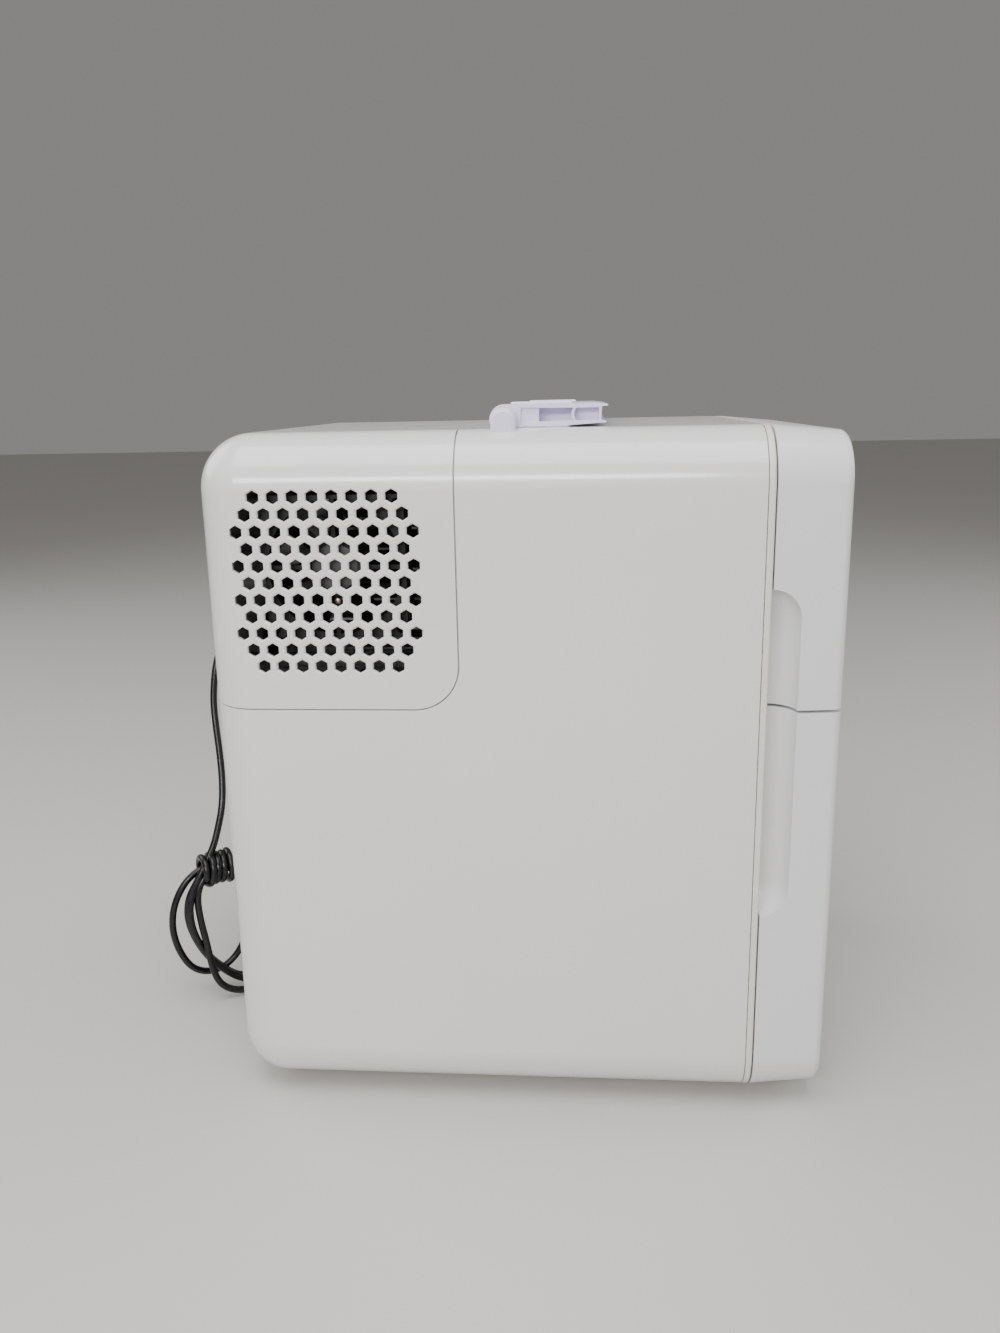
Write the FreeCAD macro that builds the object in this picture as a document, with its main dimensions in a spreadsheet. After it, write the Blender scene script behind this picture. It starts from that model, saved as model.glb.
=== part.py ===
"""Two-door thermoelectric mini fridge, as a parametric assembly of separate pieces.

Frame: millimetres, +X to the hinge side, -Y to the front (the doors), +Z up.
The origin is on the floor, under the centre of the cabinet and doors.
"""
import FreeCAD, Part
import math
import os
import Sketcher

V = FreeCAD.Vector

DIMENSIONS = {
    # casing
    "body_width": 290, "body_height": 405, "foot_height": 5, "body_back": 180.5,
    "seam_front": 135, "frame_strip": 3.8, "door_gap": 0.7, "door_thick": 41,
    "long_radius": 32, "back_radius": 30, "shell_wall": 2.6, "seam_gap": 0.4,
    # rear shoulder cover and its grille of hexagons
    "vent_seam": 32, "vent_floor": 255, "vent_corner": 26,
    "hex_pitch": 11, "hex_flats": 6.8, "hex_y": 105, "hex_z": 328.4,
    # compartments
    "mouth_half": 115, "mouth_corner": 12, "liner_wall": 1.5,
    "upper_low": 268, "upper_high": 378, "upper_back": 30,
    "lower_low": 35, "lower_high": 241, "lower_back": 148,
    "foam_rear": 52, "foam_shoulder": 252, "foam_front": 127.5,
    "shelf_level": 140, "shelf_thick": 4,
    # cooling stack
    "core_z": 323, "core_half": 20, "fin_thick": 1.4, "fin_span": 47.2,
    "fan_y": 101, "fan_z": 336.5, "fan_half": 40, "fan_deep": 25, "fan_face": 138.5, "blades": 7,
    "small_fan_half": 30, "small_fan_deep": 10, "small_blades": 9,
    # doors
    "split_level": 254.5, "split_gap": 1.6, "door_draft": 5.57, "door_front_radius": 5,
    "hinge_inset": 6.5, "pin_radius": 2, "pin_play": 0.05, "tongue_thick": 2.5,
    "top_tongue": 373, "bottom_tongue": 44, "bin_wall": 2, "bin_depth": 53.7,
    "scoop_radius": 16.5, "scoop_low": 131, "scoop_high": 323.5,
    # carry handle
    "pivot_y": 6.7, "pivot_z": 414.5, "post_outer": 124, "post_inner": 112, "post_half": 7,
    "hub_radius": 8.4, "arm_outer": 111.4, "arm_inner": 97, "bail_front": 47, "bail_top": 422.9,
    "bail_bottom": 410.8, "well_radius": 9,
    # rear panel
    "panel_low": 259, "panel_high": 292, "panel_left": 34, "panel_right": 62,
    "switch_x": -6, "switch_z": 276,
    # mains lead
    "cord_radius": 2.5, "exit_x": 40, "exit_z": 266, "exit_y": 198,
}

CORD_DOWN = [(40, 198, 266), (40, 210.5, 266), (38.7, 223, 261.9), (35.2, 232.8, 253), (30.5, 237, 240),
             (24.5, 236.8, 226), (14, 233, 203), (3.5, 228.6, 179), (-6.5, 225.4, 158), (-16, 226.2, 143),
             (-21, 228.6, 129), (-21, 228.6, 115.9)]
CORD_TAIL = [(5.46, 210.4, 11.3), (15.7, 218.4, 11.3), (29, 223, 9.3), (44, 223, 9.3)]

doc = FreeCAD.newDocument("mini_fridge")
sizes = doc.addObject("Spreadsheet::Sheet", "Sizes")
for row, (alias, number) in enumerate(DIMENSIONS.items(), start=1):
    sizes.set(f"A{row}", alias)
    sizes.set(f"B{row}", str(number))
    sizes.setAlias(f"B{row}", alias)
doc.recompute()

NODES = []

# Heights and depths that several pieces share, as expressions of the sizes.
S = "Sizes."
MID_Z = f"({S}foot_height + {S}body_height / 2)"
TOP_Z = f"({S}foot_height + {S}body_height)"
SEAM_Y = f"(-{S}seam_front)"
FRAME_Y = f"(-{S}seam_front - {S}frame_strip)"
DOOR_Y = f"(-{S}seam_front - {S}frame_strip - {S}door_gap)"
FRONT_Y = f"({DOOR_Y} - {S}door_thick)"
HINGE_X = f"({S}body_width / 2 - {S}hinge_inset)"
HINGE_Y = f"({DOOR_Y} - {S}hinge_inset)"
FAR = "400"


def value(expression):
    """Number that an expression of the sizes gives."""
    return float(sizes.evalExpression(str(expression)))


def body(name):
    """Empty piece that becomes the node of that name."""
    made = doc.addObject("PartDesign::Body", name)
    made.Label = name
    return made


def keep(thing, name=None):
    """Count a finished piece as one of the assembly's nodes."""
    if name:
        thing.Label = name
    NODES.append(thing)
    return thing


def origin_part(owner, role):
    """Plane or axis of a piece's own origin."""
    return next(item for item in owner.Origin.OriginFeatures if item.Role == role)


def sketch(owner, plane, level="0"):
    """Drawing plane parallel to an origin plane, at a level of the axis across it."""
    made = owner.newObject("Sketcher::SketchObject", f"{owner.Name}_outline")
    made.AttachmentSupport = [(origin_part(owner, f"{plane}_Plane"), "")]
    made.MapMode = "FlatFace"
    across = f"-({level})" if plane == "XZ" else f"{level}"
    made.setExpression(".AttachmentOffset.Base.z", across)
    return made


def bind(drawing, kind, target, expression):
    """Give a drawing one dimension that follows its expression."""
    index = drawing.addConstraint(Sketcher.Constraint(kind, *target, value(expression)))
    label = f"{kind}_{index}"
    drawing.renameConstraint(index, label)
    drawing.setExpression(f"Constraints.{label}", str(expression))


def outline(drawing, corners):
    """Closed polygon whose corners follow their expressions."""
    first = drawing.GeometryCount
    count = len(corners)
    spots = [V(value(a), value(b), 0) for a, b in corners]
    for index in range(count):
        drawing.addGeometry(Part.LineSegment(spots[index], spots[(index + 1) % count]), False)
    for index in range(count):
        after = first + (index + 1) % count
        drawing.addConstraint(Sketcher.Constraint("Coincident", first + index, 2, after, 1))
    for index, (a, b) in enumerate(corners):
        bind(drawing, "DistanceX", (first + index, 1), a)
        bind(drawing, "DistanceY", (first + index, 1), b)
    return drawing


def rectangle(drawing, low_a, high_a, low_b, high_b):
    """Rectangle between two bounds along each of the drawing's axes."""
    return outline(drawing, [(low_a, low_b), (high_a, low_b), (high_a, high_b), (low_a, high_b)])


def circle(drawing, a, b, radius):
    """Circle whose centre and radius follow their expressions."""
    index = drawing.GeometryCount
    drawing.addGeometry(Part.Circle(V(value(a), value(b), 0), V(0, 0, 1), value(radius)), False)
    bind(drawing, "DistanceX", (index, 3), a)
    bind(drawing, "DistanceY", (index, 3), b)
    bind(drawing, "Radius", (index,), radius)
    return drawing


def extrude(owner, kind, drawing, length, reverse=False, symmetric=False, taper=None):
    """Straight or tapered prism of a drawing, added or removed."""
    made = owner.newObject(f"PartDesign::{kind}", f"{owner.Name}_{kind.lower()}")
    made.Profile = drawing
    made.Reversed = reverse
    if symmetric:
        made.SideType = "Symmetric"
    made.setExpression("Length", str(length))
    if taper:
        made.setExpression("TaperAngle", taper)
    return made


def pad(owner, drawing, length, **options):
    """Add material along the drawing's normal."""
    return extrude(owner, "Pad", drawing, length, **options)


def pocket(owner, drawing, length, **options):
    """Remove material against the drawing's normal, and prove that some was removed."""
    doc.recompute()
    before = owner.Shape.Volume
    made = extrude(owner, "Pocket", drawing, length, **options)
    doc.recompute()
    if not owner.Shape.Volume < before - 1e-3:
        raise RuntimeError(f"{owner.Label}: a pocket cut nothing")
    return made


def fillet(owner, radius, test):
    """Round the edges of the latest feature that pass a test."""
    doc.recompute()
    base = owner.Tip
    names = [f"Edge{index}" for index, edge in enumerate(base.Shape.Edges, start=1) if test(edge)]
    if not names:
        raise RuntimeError(f"{owner.Label}: no edge to round")
    made = owner.newObject("PartDesign::Fillet", f"{owner.Name}_fillet")
    made.Base = (base, names)
    made.setExpression("Radius", str(radius))
    return made


def along(axis):
    """Test for straight edges that run along an axis."""
    def test(edge):
        if edge.Curve.TypeId != "Part::GeomLine":
            return False
        return abs(abs(edge.Curve.Direction.dot(axis)) - 1) < 1e-6
    return test


def in_plane(coordinate, expression):
    """Test for edges that lie at one level of an axis, given as x, y or z."""
    level = value(expression)

    def test(edge):
        box = edge.BoundBox
        low, high = getattr(box, f"{coordinate.upper()}Min"), getattr(box, f"{coordinate.upper()}Max")
        return abs(low - level) < 1e-3 and abs(high - level) < 1e-3
    return test


def rounded_frame(drawing, half_width, half_height, radius):
    """Rounded rectangle about the drawing's origin: four lines joined by four equal tangent arcs."""
    wide, high, turn = value(half_width), value(half_height), value(radius)
    first = drawing.GeometryCount
    signs = [(1, -1), (1, 1), (-1, 1), (-1, -1)]
    centres = [V(a * (wide - turn), b * (high - turn), 0) for a, b in signs]
    starts = [(0, -1), (1, 0), (0, 1), (-1, 0)]
    for index, centre in enumerate(centres):
        here, after = V(*starts[index], 0), V(*starts[(index + 1) % 4], 0)
        begin, end = centre + here * turn, centre + after * turn
        middle = centre + (here + after).normalize() * turn
        drawing.addGeometry(Part.Arc(begin, middle, end), False)
        following = centres[(index + 1) % 4] + after * turn
        drawing.addGeometry(Part.LineSegment(end, following), False)
    for index in range(4):
        arc, line, after = first + 2 * index, first + 2 * index + 1, first + (2 * index + 2) % 8
        drawing.addConstraint(Sketcher.Constraint("Tangent", arc, 2, line, 1))
        drawing.addConstraint(Sketcher.Constraint("Tangent", line, 2, after, 1))
        drawing.addConstraint(Sketcher.Constraint("Vertical" if index % 2 == 0 else "Horizontal", line))
        if index:
            drawing.addConstraint(Sketcher.Constraint("Equal", first, arc))
    drawing.addConstraint(Sketcher.Constraint("Symmetric", first, 3, first + 4, 3, -1, 1))
    bind(drawing, "Radius", (first,), radius)
    bind(drawing, "DistanceX", (first + 1, 1), half_width)
    bind(drawing, "DistanceY", (first + 3, 1), half_height)
    return drawing


def casing_outline(owner, level, inset):
    """The cabinet's front outline, drawn at one depth and moved inwards by an inset."""
    drawing = sketch(owner, "XZ", level)
    drawing.setExpression(".AttachmentOffset.Base.y", MID_Z)
    return rounded_frame(drawing, f"{S}body_width / 2 - {inset}", f"{S}body_height / 2 - {inset}",
                         f"{S}long_radius - {inset}")


def casing_solid(owner, front, inset):
    """Solid casing block from a front depth to the back, rounded on all edges but the front ones."""
    pad(owner, casing_outline(owner, front, inset), f"{S}body_back - {inset} - ({front})", reverse=True)
    fillet(owner, f"{S}back_radius - {inset}", in_plane("y", f"{S}body_back - {inset}"))


def hollow_casing(name):
    """Casing shell of even wall that is open at the front."""
    shell = body(name)
    casing_solid(shell, SEAM_Y, "0")
    doc.recompute()
    base = shell.Tip
    level = value(SEAM_Y)
    front = next(f"Face{index}" for index, face in enumerate(base.Shape.Faces, start=1)
                 if abs(face.BoundBox.YMax - level) < 1e-3)
    wall = shell.newObject("PartDesign::Thickness", f"{name}_wall")
    wall.Base = (base, [front])
    wall.Reversed = True
    wall.setExpression("Value", f"{S}shell_wall")
    return shell


def slab(owner, x_low, x_high, y_low, y_high, z_low, z_high, kind="Pad"):
    """Box between bounds, added to a piece or cut from it."""
    drawing = rectangle(sketch(owner, "XY", z_low), x_low, x_high, y_low, y_high)
    height = f"({z_high}) - ({z_low})"
    return pad(owner, drawing, height) if kind == "Pad" else pocket(owner, drawing, height, reverse=True)


def bore(owner, plane, level, spots, radius, depth, reverse=False):
    """Round holes of one radius, cut from a plane's level."""
    drawing = sketch(owner, plane, level)
    for a, b in spots:
        circle(drawing, a, b, radius)
    return pocket(owner, drawing, depth, reverse=reverse)


def tub(name, x_half, y_front, y_back, z_low, z_high, wall, corner):
    """Open-fronted tub with rounded long edges and an even wall."""
    made = body(name)
    middle = f"(({z_low}) + ({z_high})) / 2"
    half_z = f"(({z_high}) - ({z_low})) / 2"
    outer = sketch(made, "XZ", y_front)
    outer.setExpression(".AttachmentOffset.Base.y", middle)
    rounded_frame(outer, f"{x_half} + {wall}", f"{half_z} + {wall}", f"{corner} + {wall}")
    pad(made, outer, f"({y_back}) + {wall} - ({y_front})", reverse=True)
    inner = sketch(made, "XZ", y_front)
    inner.setExpression(".AttachmentOffset.Base.y", middle)
    rounded_frame(inner, x_half, half_z, corner)
    pocket(made, inner, f"({y_back}) - ({y_front})")
    return made


# ---------------------------------------------------------------- cabinet

def make_outer_shell():
    """Main casing with the shoulder cut away, wells for the handle's hubs and holes for the feet."""
    shell = hollow_casing("outer_shell")
    shoulder = rectangle(sketch(shell, "YZ"), f"{S}vent_seam", f"{S}body_back + 10", f"{S}vent_floor",
                         f"{TOP_Z} + 10")
    pocket(shell, shoulder, FAR, symmetric=True)
    seam, floor = value(f"{S}vent_seam"), value(f"{S}vent_floor")

    def seam_corner(edge):
        box = edge.BoundBox
        return along(V(1, 0, 0))(edge) and abs(box.YMin - seam) < 1e-3 and abs(box.ZMin - floor) < 1e-3
    fillet(shell, f"{S}vent_corner", seam_corner)
    well = f"({S}well_radius + 0.6)"
    for side in (-1, 1):
        ends = sorted((f"{side} * ({S}arm_outer + 1)", f"{side} * ({S}arm_inner - 1.4)"), key=value)
        slab(shell, *ends, f"{S}pivot_y - {well}", f"{S}pivot_y + {well}",
             f"{S}pivot_z - {S}well_radius - 2", f"{TOP_Z} - 1")
    for side in (-1, 1):
        cut = circle(sketch(shell, "YZ", f"{side} * ({S}arm_outer + {S}arm_inner) / 2"),
                     f"{S}pivot_y", f"{S}pivot_z", f"{S}well_radius")
        pocket(shell, cut, f"{S}arm_outer - {S}arm_inner + 0.8", symmetric=True)
    feet = [(f"{a} * 95", b) for a in (-1, 1) for b in ("-112", "128")]
    bore(shell, "XY", f"{S}foot_height", feet, "3.6", f"{S}shell_wall", reverse=True)
    keep(shell)


def make_vent_cutter():
    """Hexagonal prisms through both sides: staggered rows, point up, shorter towards the top and bottom."""
    pitch, radius = value(f"{S}hex_pitch"), value(f"{S}hex_flats") / math.sqrt(3)
    half = value(f"{S}body_width") / 2
    prisms = []
    for row in range(-5, 6):
        count = {5: 8}.get(abs(row), 9 if row % 2 == 0 else 10)
        for column in range(count):
            y = value(f"{S}hex_y") + (column - (count - 1) / 2) * pitch
            z = value(f"{S}hex_z") + row * pitch * math.sqrt(3) / 2
            ring = [V(-half - 1, y + radius * math.sin(turn * math.pi / 3),
                      z + radius * math.cos(turn * math.pi / 3)) for turn in range(7)]
            face = Part.Face(Part.makePolygon(ring))
            for start in (0, 2 * half - 8):
                prisms.append(face.translated(V(start, 0, 0)).extrude(V(10, 0, 0)))
    cutter = doc.addObject("Part::Feature", "vent_cutter")
    cutter.Shape = Part.makeCompound(prisms)
    return cutter


def make_rear_vent_cover():
    """Saddle-shaped shoulder cover: top, back and both sides, with a grille on each side."""
    cover = hollow_casing("vent_cover_blank")
    front = rectangle(sketch(cover, "YZ"), "-200", f"{S}vent_seam + {S}seam_gap", "0", f"{TOP_Z} + 10")
    pocket(cover, front, FAR, symmetric=True)
    under = rectangle(sketch(cover, "YZ"), "0", f"{S}body_back + 10", "0", f"{S}vent_floor + {S}seam_gap")
    pocket(cover, under, FAR, symmetric=True)
    seam, floor = value(f"{S}vent_seam + {S}seam_gap"), value(f"{S}vent_floor + {S}seam_gap")

    def seam_corner(edge):
        box = edge.BoundBox
        return along(V(1, 0, 0))(edge) and abs(box.YMin - seam) < 1e-3 and abs(box.ZMin - floor) < 1e-3
    fillet(cover, f"{S}vent_corner - {S}seam_gap", seam_corner)
    window = rectangle(sketch(cover, "XZ", f"{S}body_back + 1"), f"-{S}panel_left", f"{S}panel_right",
                       f"{S}panel_low", f"{S}panel_high")
    pocket(cover, window, f"{S}shell_wall + 2", reverse=True)
    screws = [(f"{a} * 104", b) for a in (-1, 1) for b in ("275", "372")]
    bore(cover, "XZ", f"{S}body_back + 1", screws, "1.7", "10", reverse=True)
    bore(cover, "XZ", f"{S}body_back + 1", screws, "3.3", "2.3", reverse=True)
    holed = doc.addObject("Part::Cut", "rear_vent_cover")
    holed.Base = cover
    holed.Tool = make_vent_cutter()
    keep(holed, "rear_vent_cover")


def make_front_frame():
    """Front ring between casing and doors, with two mouths, a locating lip and slots for the hinges."""
    ring = body("front_frame")
    pad(ring, casing_outline(ring, SEAM_Y, "0"), f"{S}frame_strip")
    fillet(ring, "1.2", in_plane("y", FRAME_Y))
    lip = casing_outline(ring, SEAM_Y, f"({S}shell_wall + 0.3)")
    inset = f"({S}shell_wall + 2.5)"
    rounded_frame(lip, f"{S}body_width / 2 - {inset}", f"{S}body_height / 2 - {inset}",
                  f"{S}long_radius - {inset}")
    pad(ring, lip, "7", reverse=True)
    for low, high in ((f"{S}upper_low", f"{S}upper_high"), (f"{S}lower_low", f"{S}lower_high")):
        mouth = sketch(ring, "XZ", SEAM_Y)
        mouth.setExpression(".AttachmentOffset.Base.y", f"({low} + {high}) / 2")
        rounded_frame(mouth, f"{S}mouth_half", f"({high} - {low}) / 2", f"{S}mouth_corner")
        pocket(ring, mouth, f"{S}frame_strip + 1", reverse=True)
    for level in (f"{S}top_tongue", f"{S}split_level", f"{S}bottom_tongue"):
        slab(ring, f"{HINGE_X} - 4.8", f"{HINGE_X} + 4.8", f"{FRAME_Y} - 1", f"{SEAM_Y} + 0",
             f"{level} - {S}tongue_thick / 2 - 0.3", f"{level} + {S}tongue_thick / 2 + 0.3", kind="Pocket")
    keep(ring)


def make_liners():
    """Moulded inner tubs of the two compartments, with shelf rails in the lower one."""
    upper = tub("upper_liner", f"{S}mouth_half", SEAM_Y, f"{S}upper_back", f"{S}upper_low", f"{S}upper_high",
                f"{S}liner_wall", f"{S}mouth_corner")
    hole = rectangle(sketch(upper, "XZ", f"{S}upper_back + 5"), f"-{S}core_half - 0.3", f"{S}core_half + 0.3",
                     f"{S}core_z - {S}core_half - 0.3", f"{S}core_z + {S}core_half + 0.3")
    pocket(upper, hole, "10", reverse=True)
    keep(upper)
    lower = tub("lower_liner", f"{S}mouth_half", SEAM_Y, f"{S}lower_back", f"{S}lower_low", f"{S}lower_high",
                f"{S}liner_wall", f"{S}mouth_corner")
    for side in (-1, 1):
        ends = sorted((f"{side} * {S}mouth_half * 1.002", f"{side} * ({S}mouth_half - 6)"), key=value)
        slab(lower, *ends, "-70", f"{S}lower_back - 2", f"{S}shelf_level - 4", f"{S}shelf_level - 0.3")
    keep(lower)


def make_shelf():
    """Removable shelf: a framed plate with long slots."""
    shelf = body("lower_shelf")
    slab(shelf, f"-{S}mouth_half + 1", f"{S}mouth_half - 1", "-66", f"{S}lower_back - 4", f"{S}shelf_level",
         f"{S}shelf_level + {S}shelf_thick")
    slots = sketch(shelf, "XY", f"{S}shelf_level + {S}shelf_thick")
    for column in range(-5, 6):
        rectangle(slots, f"{column * 19} - 6", f"{column * 19} + 6", "-54", f"{S}lower_back - 18")
    pocket(shelf, slots, f"{S}shelf_thick")
    keep(shelf)


def make_foam():
    """Insulation that fills the casing around both tubs, stepped down under the shoulder cover."""
    foam = body("foam_insulation")
    casing_solid(foam, f"(-{S}foam_front)", f"({S}shell_wall + 0.5)")
    step = rectangle(sketch(foam, "YZ"), f"{S}foam_rear", "200", f"{S}foam_shoulder", f"{TOP_Z} + 10")
    pocket(foam, step, FAR, symmetric=True)
    room = f"({S}liner_wall + 0.3)"
    for low, high, back in ((f"{S}upper_low", f"{S}upper_high", f"{S}upper_back"),
                            (f"{S}lower_low", f"{S}lower_high", f"{S}lower_back")):
        cavity = sketch(foam, "XZ", f"(-{S}foam_front)")
        cavity.setExpression(".AttachmentOffset.Base.y", f"({low} + {high}) / 2")
        rounded_frame(cavity, f"{S}mouth_half + {room}", f"({high} - {low}) / 2 + {room}",
                      f"{S}mouth_corner + {room}")
        pocket(foam, cavity, f"{back} + {room} + {S}foam_front")
    core = rectangle(sketch(foam, "XZ", f"{S}foam_rear + 1"), f"-{S}core_half - 0.3", f"{S}core_half + 0.3",
                     f"{S}core_z - {S}core_half - 0.3", f"{S}core_z + {S}core_half + 0.3")
    pocket(foam, core, f"{S}foam_rear - {S}upper_back", reverse=True)
    well = f"({S}well_radius + 1.2)"
    for side in (-1, 1):
        ends = sorted((f"{side} * ({S}arm_outer + 1.6)", f"{side} * ({S}arm_inner - 2)"), key=value)
        slab(foam, *ends, f"{S}pivot_y - {well}", f"{S}pivot_y + {well}",
             f"{S}pivot_z - {S}well_radius - 2.6", TOP_Z, kind="Pocket")
    keep(foam)


def make_feet():
    """Four rubber feet with a stub that plugs into the base."""
    solids = []
    for a in (-95, 95):
        for b in (-112, 128):
            foot = body(f"foot_{len(solids)}")
            pad(foot, circle(sketch(foot, "XY"), str(a), str(b), "9"), f"{S}foot_height - 0.02")
            fillet(foot, "1.5", in_plane("z", "0"))
            pad(foot, circle(sketch(foot, "XY", f"{S}foot_height - 0.5"), str(a), str(b), "3.4"), "3.5")
            solids.append(foot)
    group = doc.addObject("Part::Compound", "feet")
    group.Links = solids
    keep(group, "feet")


# ---------------------------------------------------------------- cooling stack

def plain_box(name, x_low, x_high, y_low, y_high, z_low, z_high):
    """Rectangular piece between bounds."""
    made = doc.addObject("Part::Box", name)
    for side, low, high in (("Length", x_low, x_high), ("Width", y_low, y_high), ("Height", z_low, z_high)):
        made.setExpression(side, f"({high}) - ({low})")
    for axis, low in (("x", x_low), ("y", y_low), ("z", z_low)):
        made.setExpression(f".Placement.Base.{axis}", str(low))
    return keep(made, name)


def make_thermal_core():
    """Cold plate with upright fins, the block through the wall, the module, the hot sink with level fins."""
    x_low, x_high = f"-{S}core_half", f"{S}core_half"
    z_low, z_high = f"{S}core_z - {S}core_half", f"{S}core_z + {S}core_half"
    cold = body("cold_sink")
    slab(cold, "-45", "45", f"{S}upper_back - 4", f"{S}upper_back", f"{S}core_z - 38", f"{S}core_z + 38")
    fin = slab(cold, "-45", f"-45 + {S}fin_thick", f"{S}upper_back - 20", f"{S}upper_back - 3.5",
               f"{S}core_z - 38", f"{S}core_z + 38")
    repeat(cold, fin, "X_Axis", f"90 - {S}fin_thick", 15)
    keep(cold)
    plain_box("cold_block", x_low, x_high, f"{S}upper_back", f"{S}foam_rear + 1", z_low, z_high)
    plain_box("peltier_module", x_low, x_high, f"{S}foam_rear + 1", f"{S}foam_rear + 4.8", z_low, z_high)
    hot = body("hot_sink")
    base_y = f"{S}foam_rear + 4.8"
    slab(hot, "-80", "60", base_y, f"{base_y} + 6", f"{S}core_z - {S}fin_span",
         f"{S}core_z + {S}fin_span")
    level = slab(hot, "-80", "60", f"{base_y} + 5.5", f"{base_y} + 70", f"{S}core_z - {S}fin_span",
                 f"{S}core_z - {S}fin_span + {S}fin_thick")
    repeat(hot, level, "Z_Axis", f"2 * {S}fin_span - {S}fin_thick", 16)
    keep(hot)


def repeat(owner, feature, axis, length, count):
    """Row of equal features along one of the piece's own axes."""
    doc.recompute()
    pattern = owner.newObject("PartDesign::LinearPattern", f"{owner.Name}_row")
    pattern.Originals = [feature]
    pattern.Direction = (origin_part(owner, axis), [""])
    pattern.setExpression("Length", length)
    pattern.Occurrences = count
    owner.Tip = pattern
    return pattern


def fan_frame(name, half, deep, bore_radius, hub_radius):
    """Square fan frame, built about its centre: round throat, corner holes and a motor hub on four struts."""
    made = body(name)
    pad(made, rounded_frame(sketch(made, "YZ", "0"), half, half, "4"), deep)
    pocket(made, circle(sketch(made, "YZ", "0"), "0", "0", bore_radius), deep, reverse=True)
    holes = [(f"{a} * ({half} - 4.2)", f"{b} * ({half} - 4.2)") for a in (-1, 1) for b in (-1, 1)]
    bore(made, "YZ", "0", holes, "2.1", deep, reverse=True)
    for low_a, high_a, low_b, high_b in (("-1.2", "1.2", f"-{half} + 1", f"{half} - 1"),
                                         (f"-{half} + 1", f"{half} - 1", "-1.2", "1.2")):
        pad(made, rectangle(sketch(made, "YZ", "0"), low_a, high_a, low_b, high_b), "1.8")
    pad(made, circle(sketch(made, "YZ", "0"), "0", "0", hub_radius), "2.2")
    return keep(made)


def fan_rotor(name, deep, hub_radius, tip_radius, count, chord, twist):
    """Cup hub and twisted flat blades in a ring, built about its own axis along X."""
    made = body(name)
    pad(made, circle(sketch(made, "YZ", "0"), "0", "0", hub_radius), deep)
    fillet(made, "1", in_plane("x", deep))
    blade = sketch(made, "XY", f"({hub_radius}) - 1")
    blade.AttachmentOffset = FreeCAD.Placement(V(0, 0, 0), FreeCAD.Rotation(V(0, 0, 1), twist))
    blade.setExpression(".AttachmentOffset.Base.x", f"({deep}) / 2")
    blade.setExpression(".AttachmentOffset.Base.z", f"({hub_radius}) - 1")
    rectangle(blade, f"-({chord}) / 2", f"({chord}) / 2", "-0.7", "0.7")
    vane = pad(made, blade, f"({tip_radius}) - ({hub_radius}) + 1")
    doc.recompute()
    ring = made.newObject("PartDesign::PolarPattern", f"{name}_ring")
    ring.Originals = [vane]
    ring.Axis = (origin_part(made, "X_Axis"), [""])
    ring.Angle = 360
    ring.setExpression("Occurrences", count)
    made.Tip = ring
    return keep(made)


def place(thing, x, y, z, turn=0):
    """Give a piece its place, turned about the upright axis."""
    thing.Placement = FreeCAD.Placement(V(0, 0, 0), FreeCAD.Rotation(V(0, 0, 1), turn))
    for axis, expression in (("x", x), ("y", y), ("z", z)):
        thing.setExpression(f".Placement.Base.{axis}", expression)


def make_fans():
    """Side fan behind the near grille, and the small fan that stirs the upper compartment."""
    side = fan_frame("side_fan_frame", f"{S}fan_half", f"{S}fan_deep", f"{S}fan_half - 2", "16")
    place(side, f"-{S}fan_face", f"{S}fan_y", f"{S}fan_z")
    rotor = fan_rotor("side_fan_rotor", "19", "15.5", f"{S}fan_half - 3.2", f"{S}blades", "18", 38)
    place(rotor, f"-{S}fan_face + 3.4", f"{S}fan_y", f"{S}fan_z")
    small = fan_frame("inner_fan_frame", f"{S}small_fan_half", f"{S}small_fan_deep",
                      f"{S}small_fan_half - 2", "12")
    place(small, "0", f"{S}upper_back - 20.5", f"{S}core_z", -90)
    wheel = fan_rotor("inner_fan_rotor", "5.6", "11.5", f"{S}small_fan_half - 3", f"{S}small_blades",
                      "6.4", 30)
    place(wheel, "0", f"{S}upper_back - 23.4", f"{S}core_z", -90)


def make_fan_cover():
    """Slotted cover over the cold plate and its fan, standing on the upper tub's back wall."""
    cover = body("inner_fan_cover")
    wall = "1.6"
    low_z, high_z = f"{S}core_z - 44", f"{S}core_z + 44"
    front = f"{S}upper_back - 34"
    slab(cover, "-56", "56", front, f"{S}upper_back", low_z, high_z)
    fillet(cover, "5", along(V(0, 1, 0)))
    slab(cover, f"-56 + {wall}", f"56 - {wall}", f"{front} + {wall}", f"{S}upper_back", f"{low_z} + {wall}",
         f"{high_z} - {wall}", kind="Pocket")
    slots = sketch(cover, "XZ", f"{front} - 1")
    for row in range(-4, 5):
        rectangle(slots, "-30", "30", f"{S}core_z + {row * 6} - 1.5", f"{S}core_z + {row * 6} + 1.5")
    pocket(cover, slots, f"{wall} + 2")
    keep(cover)


def make_electronics():
    """Mains power supply in a case, and the thermostat board with its parts."""
    supply = body("power_supply")
    slab(supply, "66", "97", "70", "150", "300", "362")
    fillet(supply, "2", along(V(0, 1, 0)))
    keep(supply)
    board = body("control_board")
    slab(board, "118", "119.6", "70", "140", "296", "366")
    for y, z, deep, wide, high in ((80, 306, 12, 16, 20), (104, 306, 9, 22, 12), (80, 336, 14, 12, 12),
                                   (104, 330, 5, 26, 26)):
        slab(board, f"118 - {deep}", "118.4", str(y), str(y + wide), str(z), str(z + high))
    keep(board)


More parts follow.
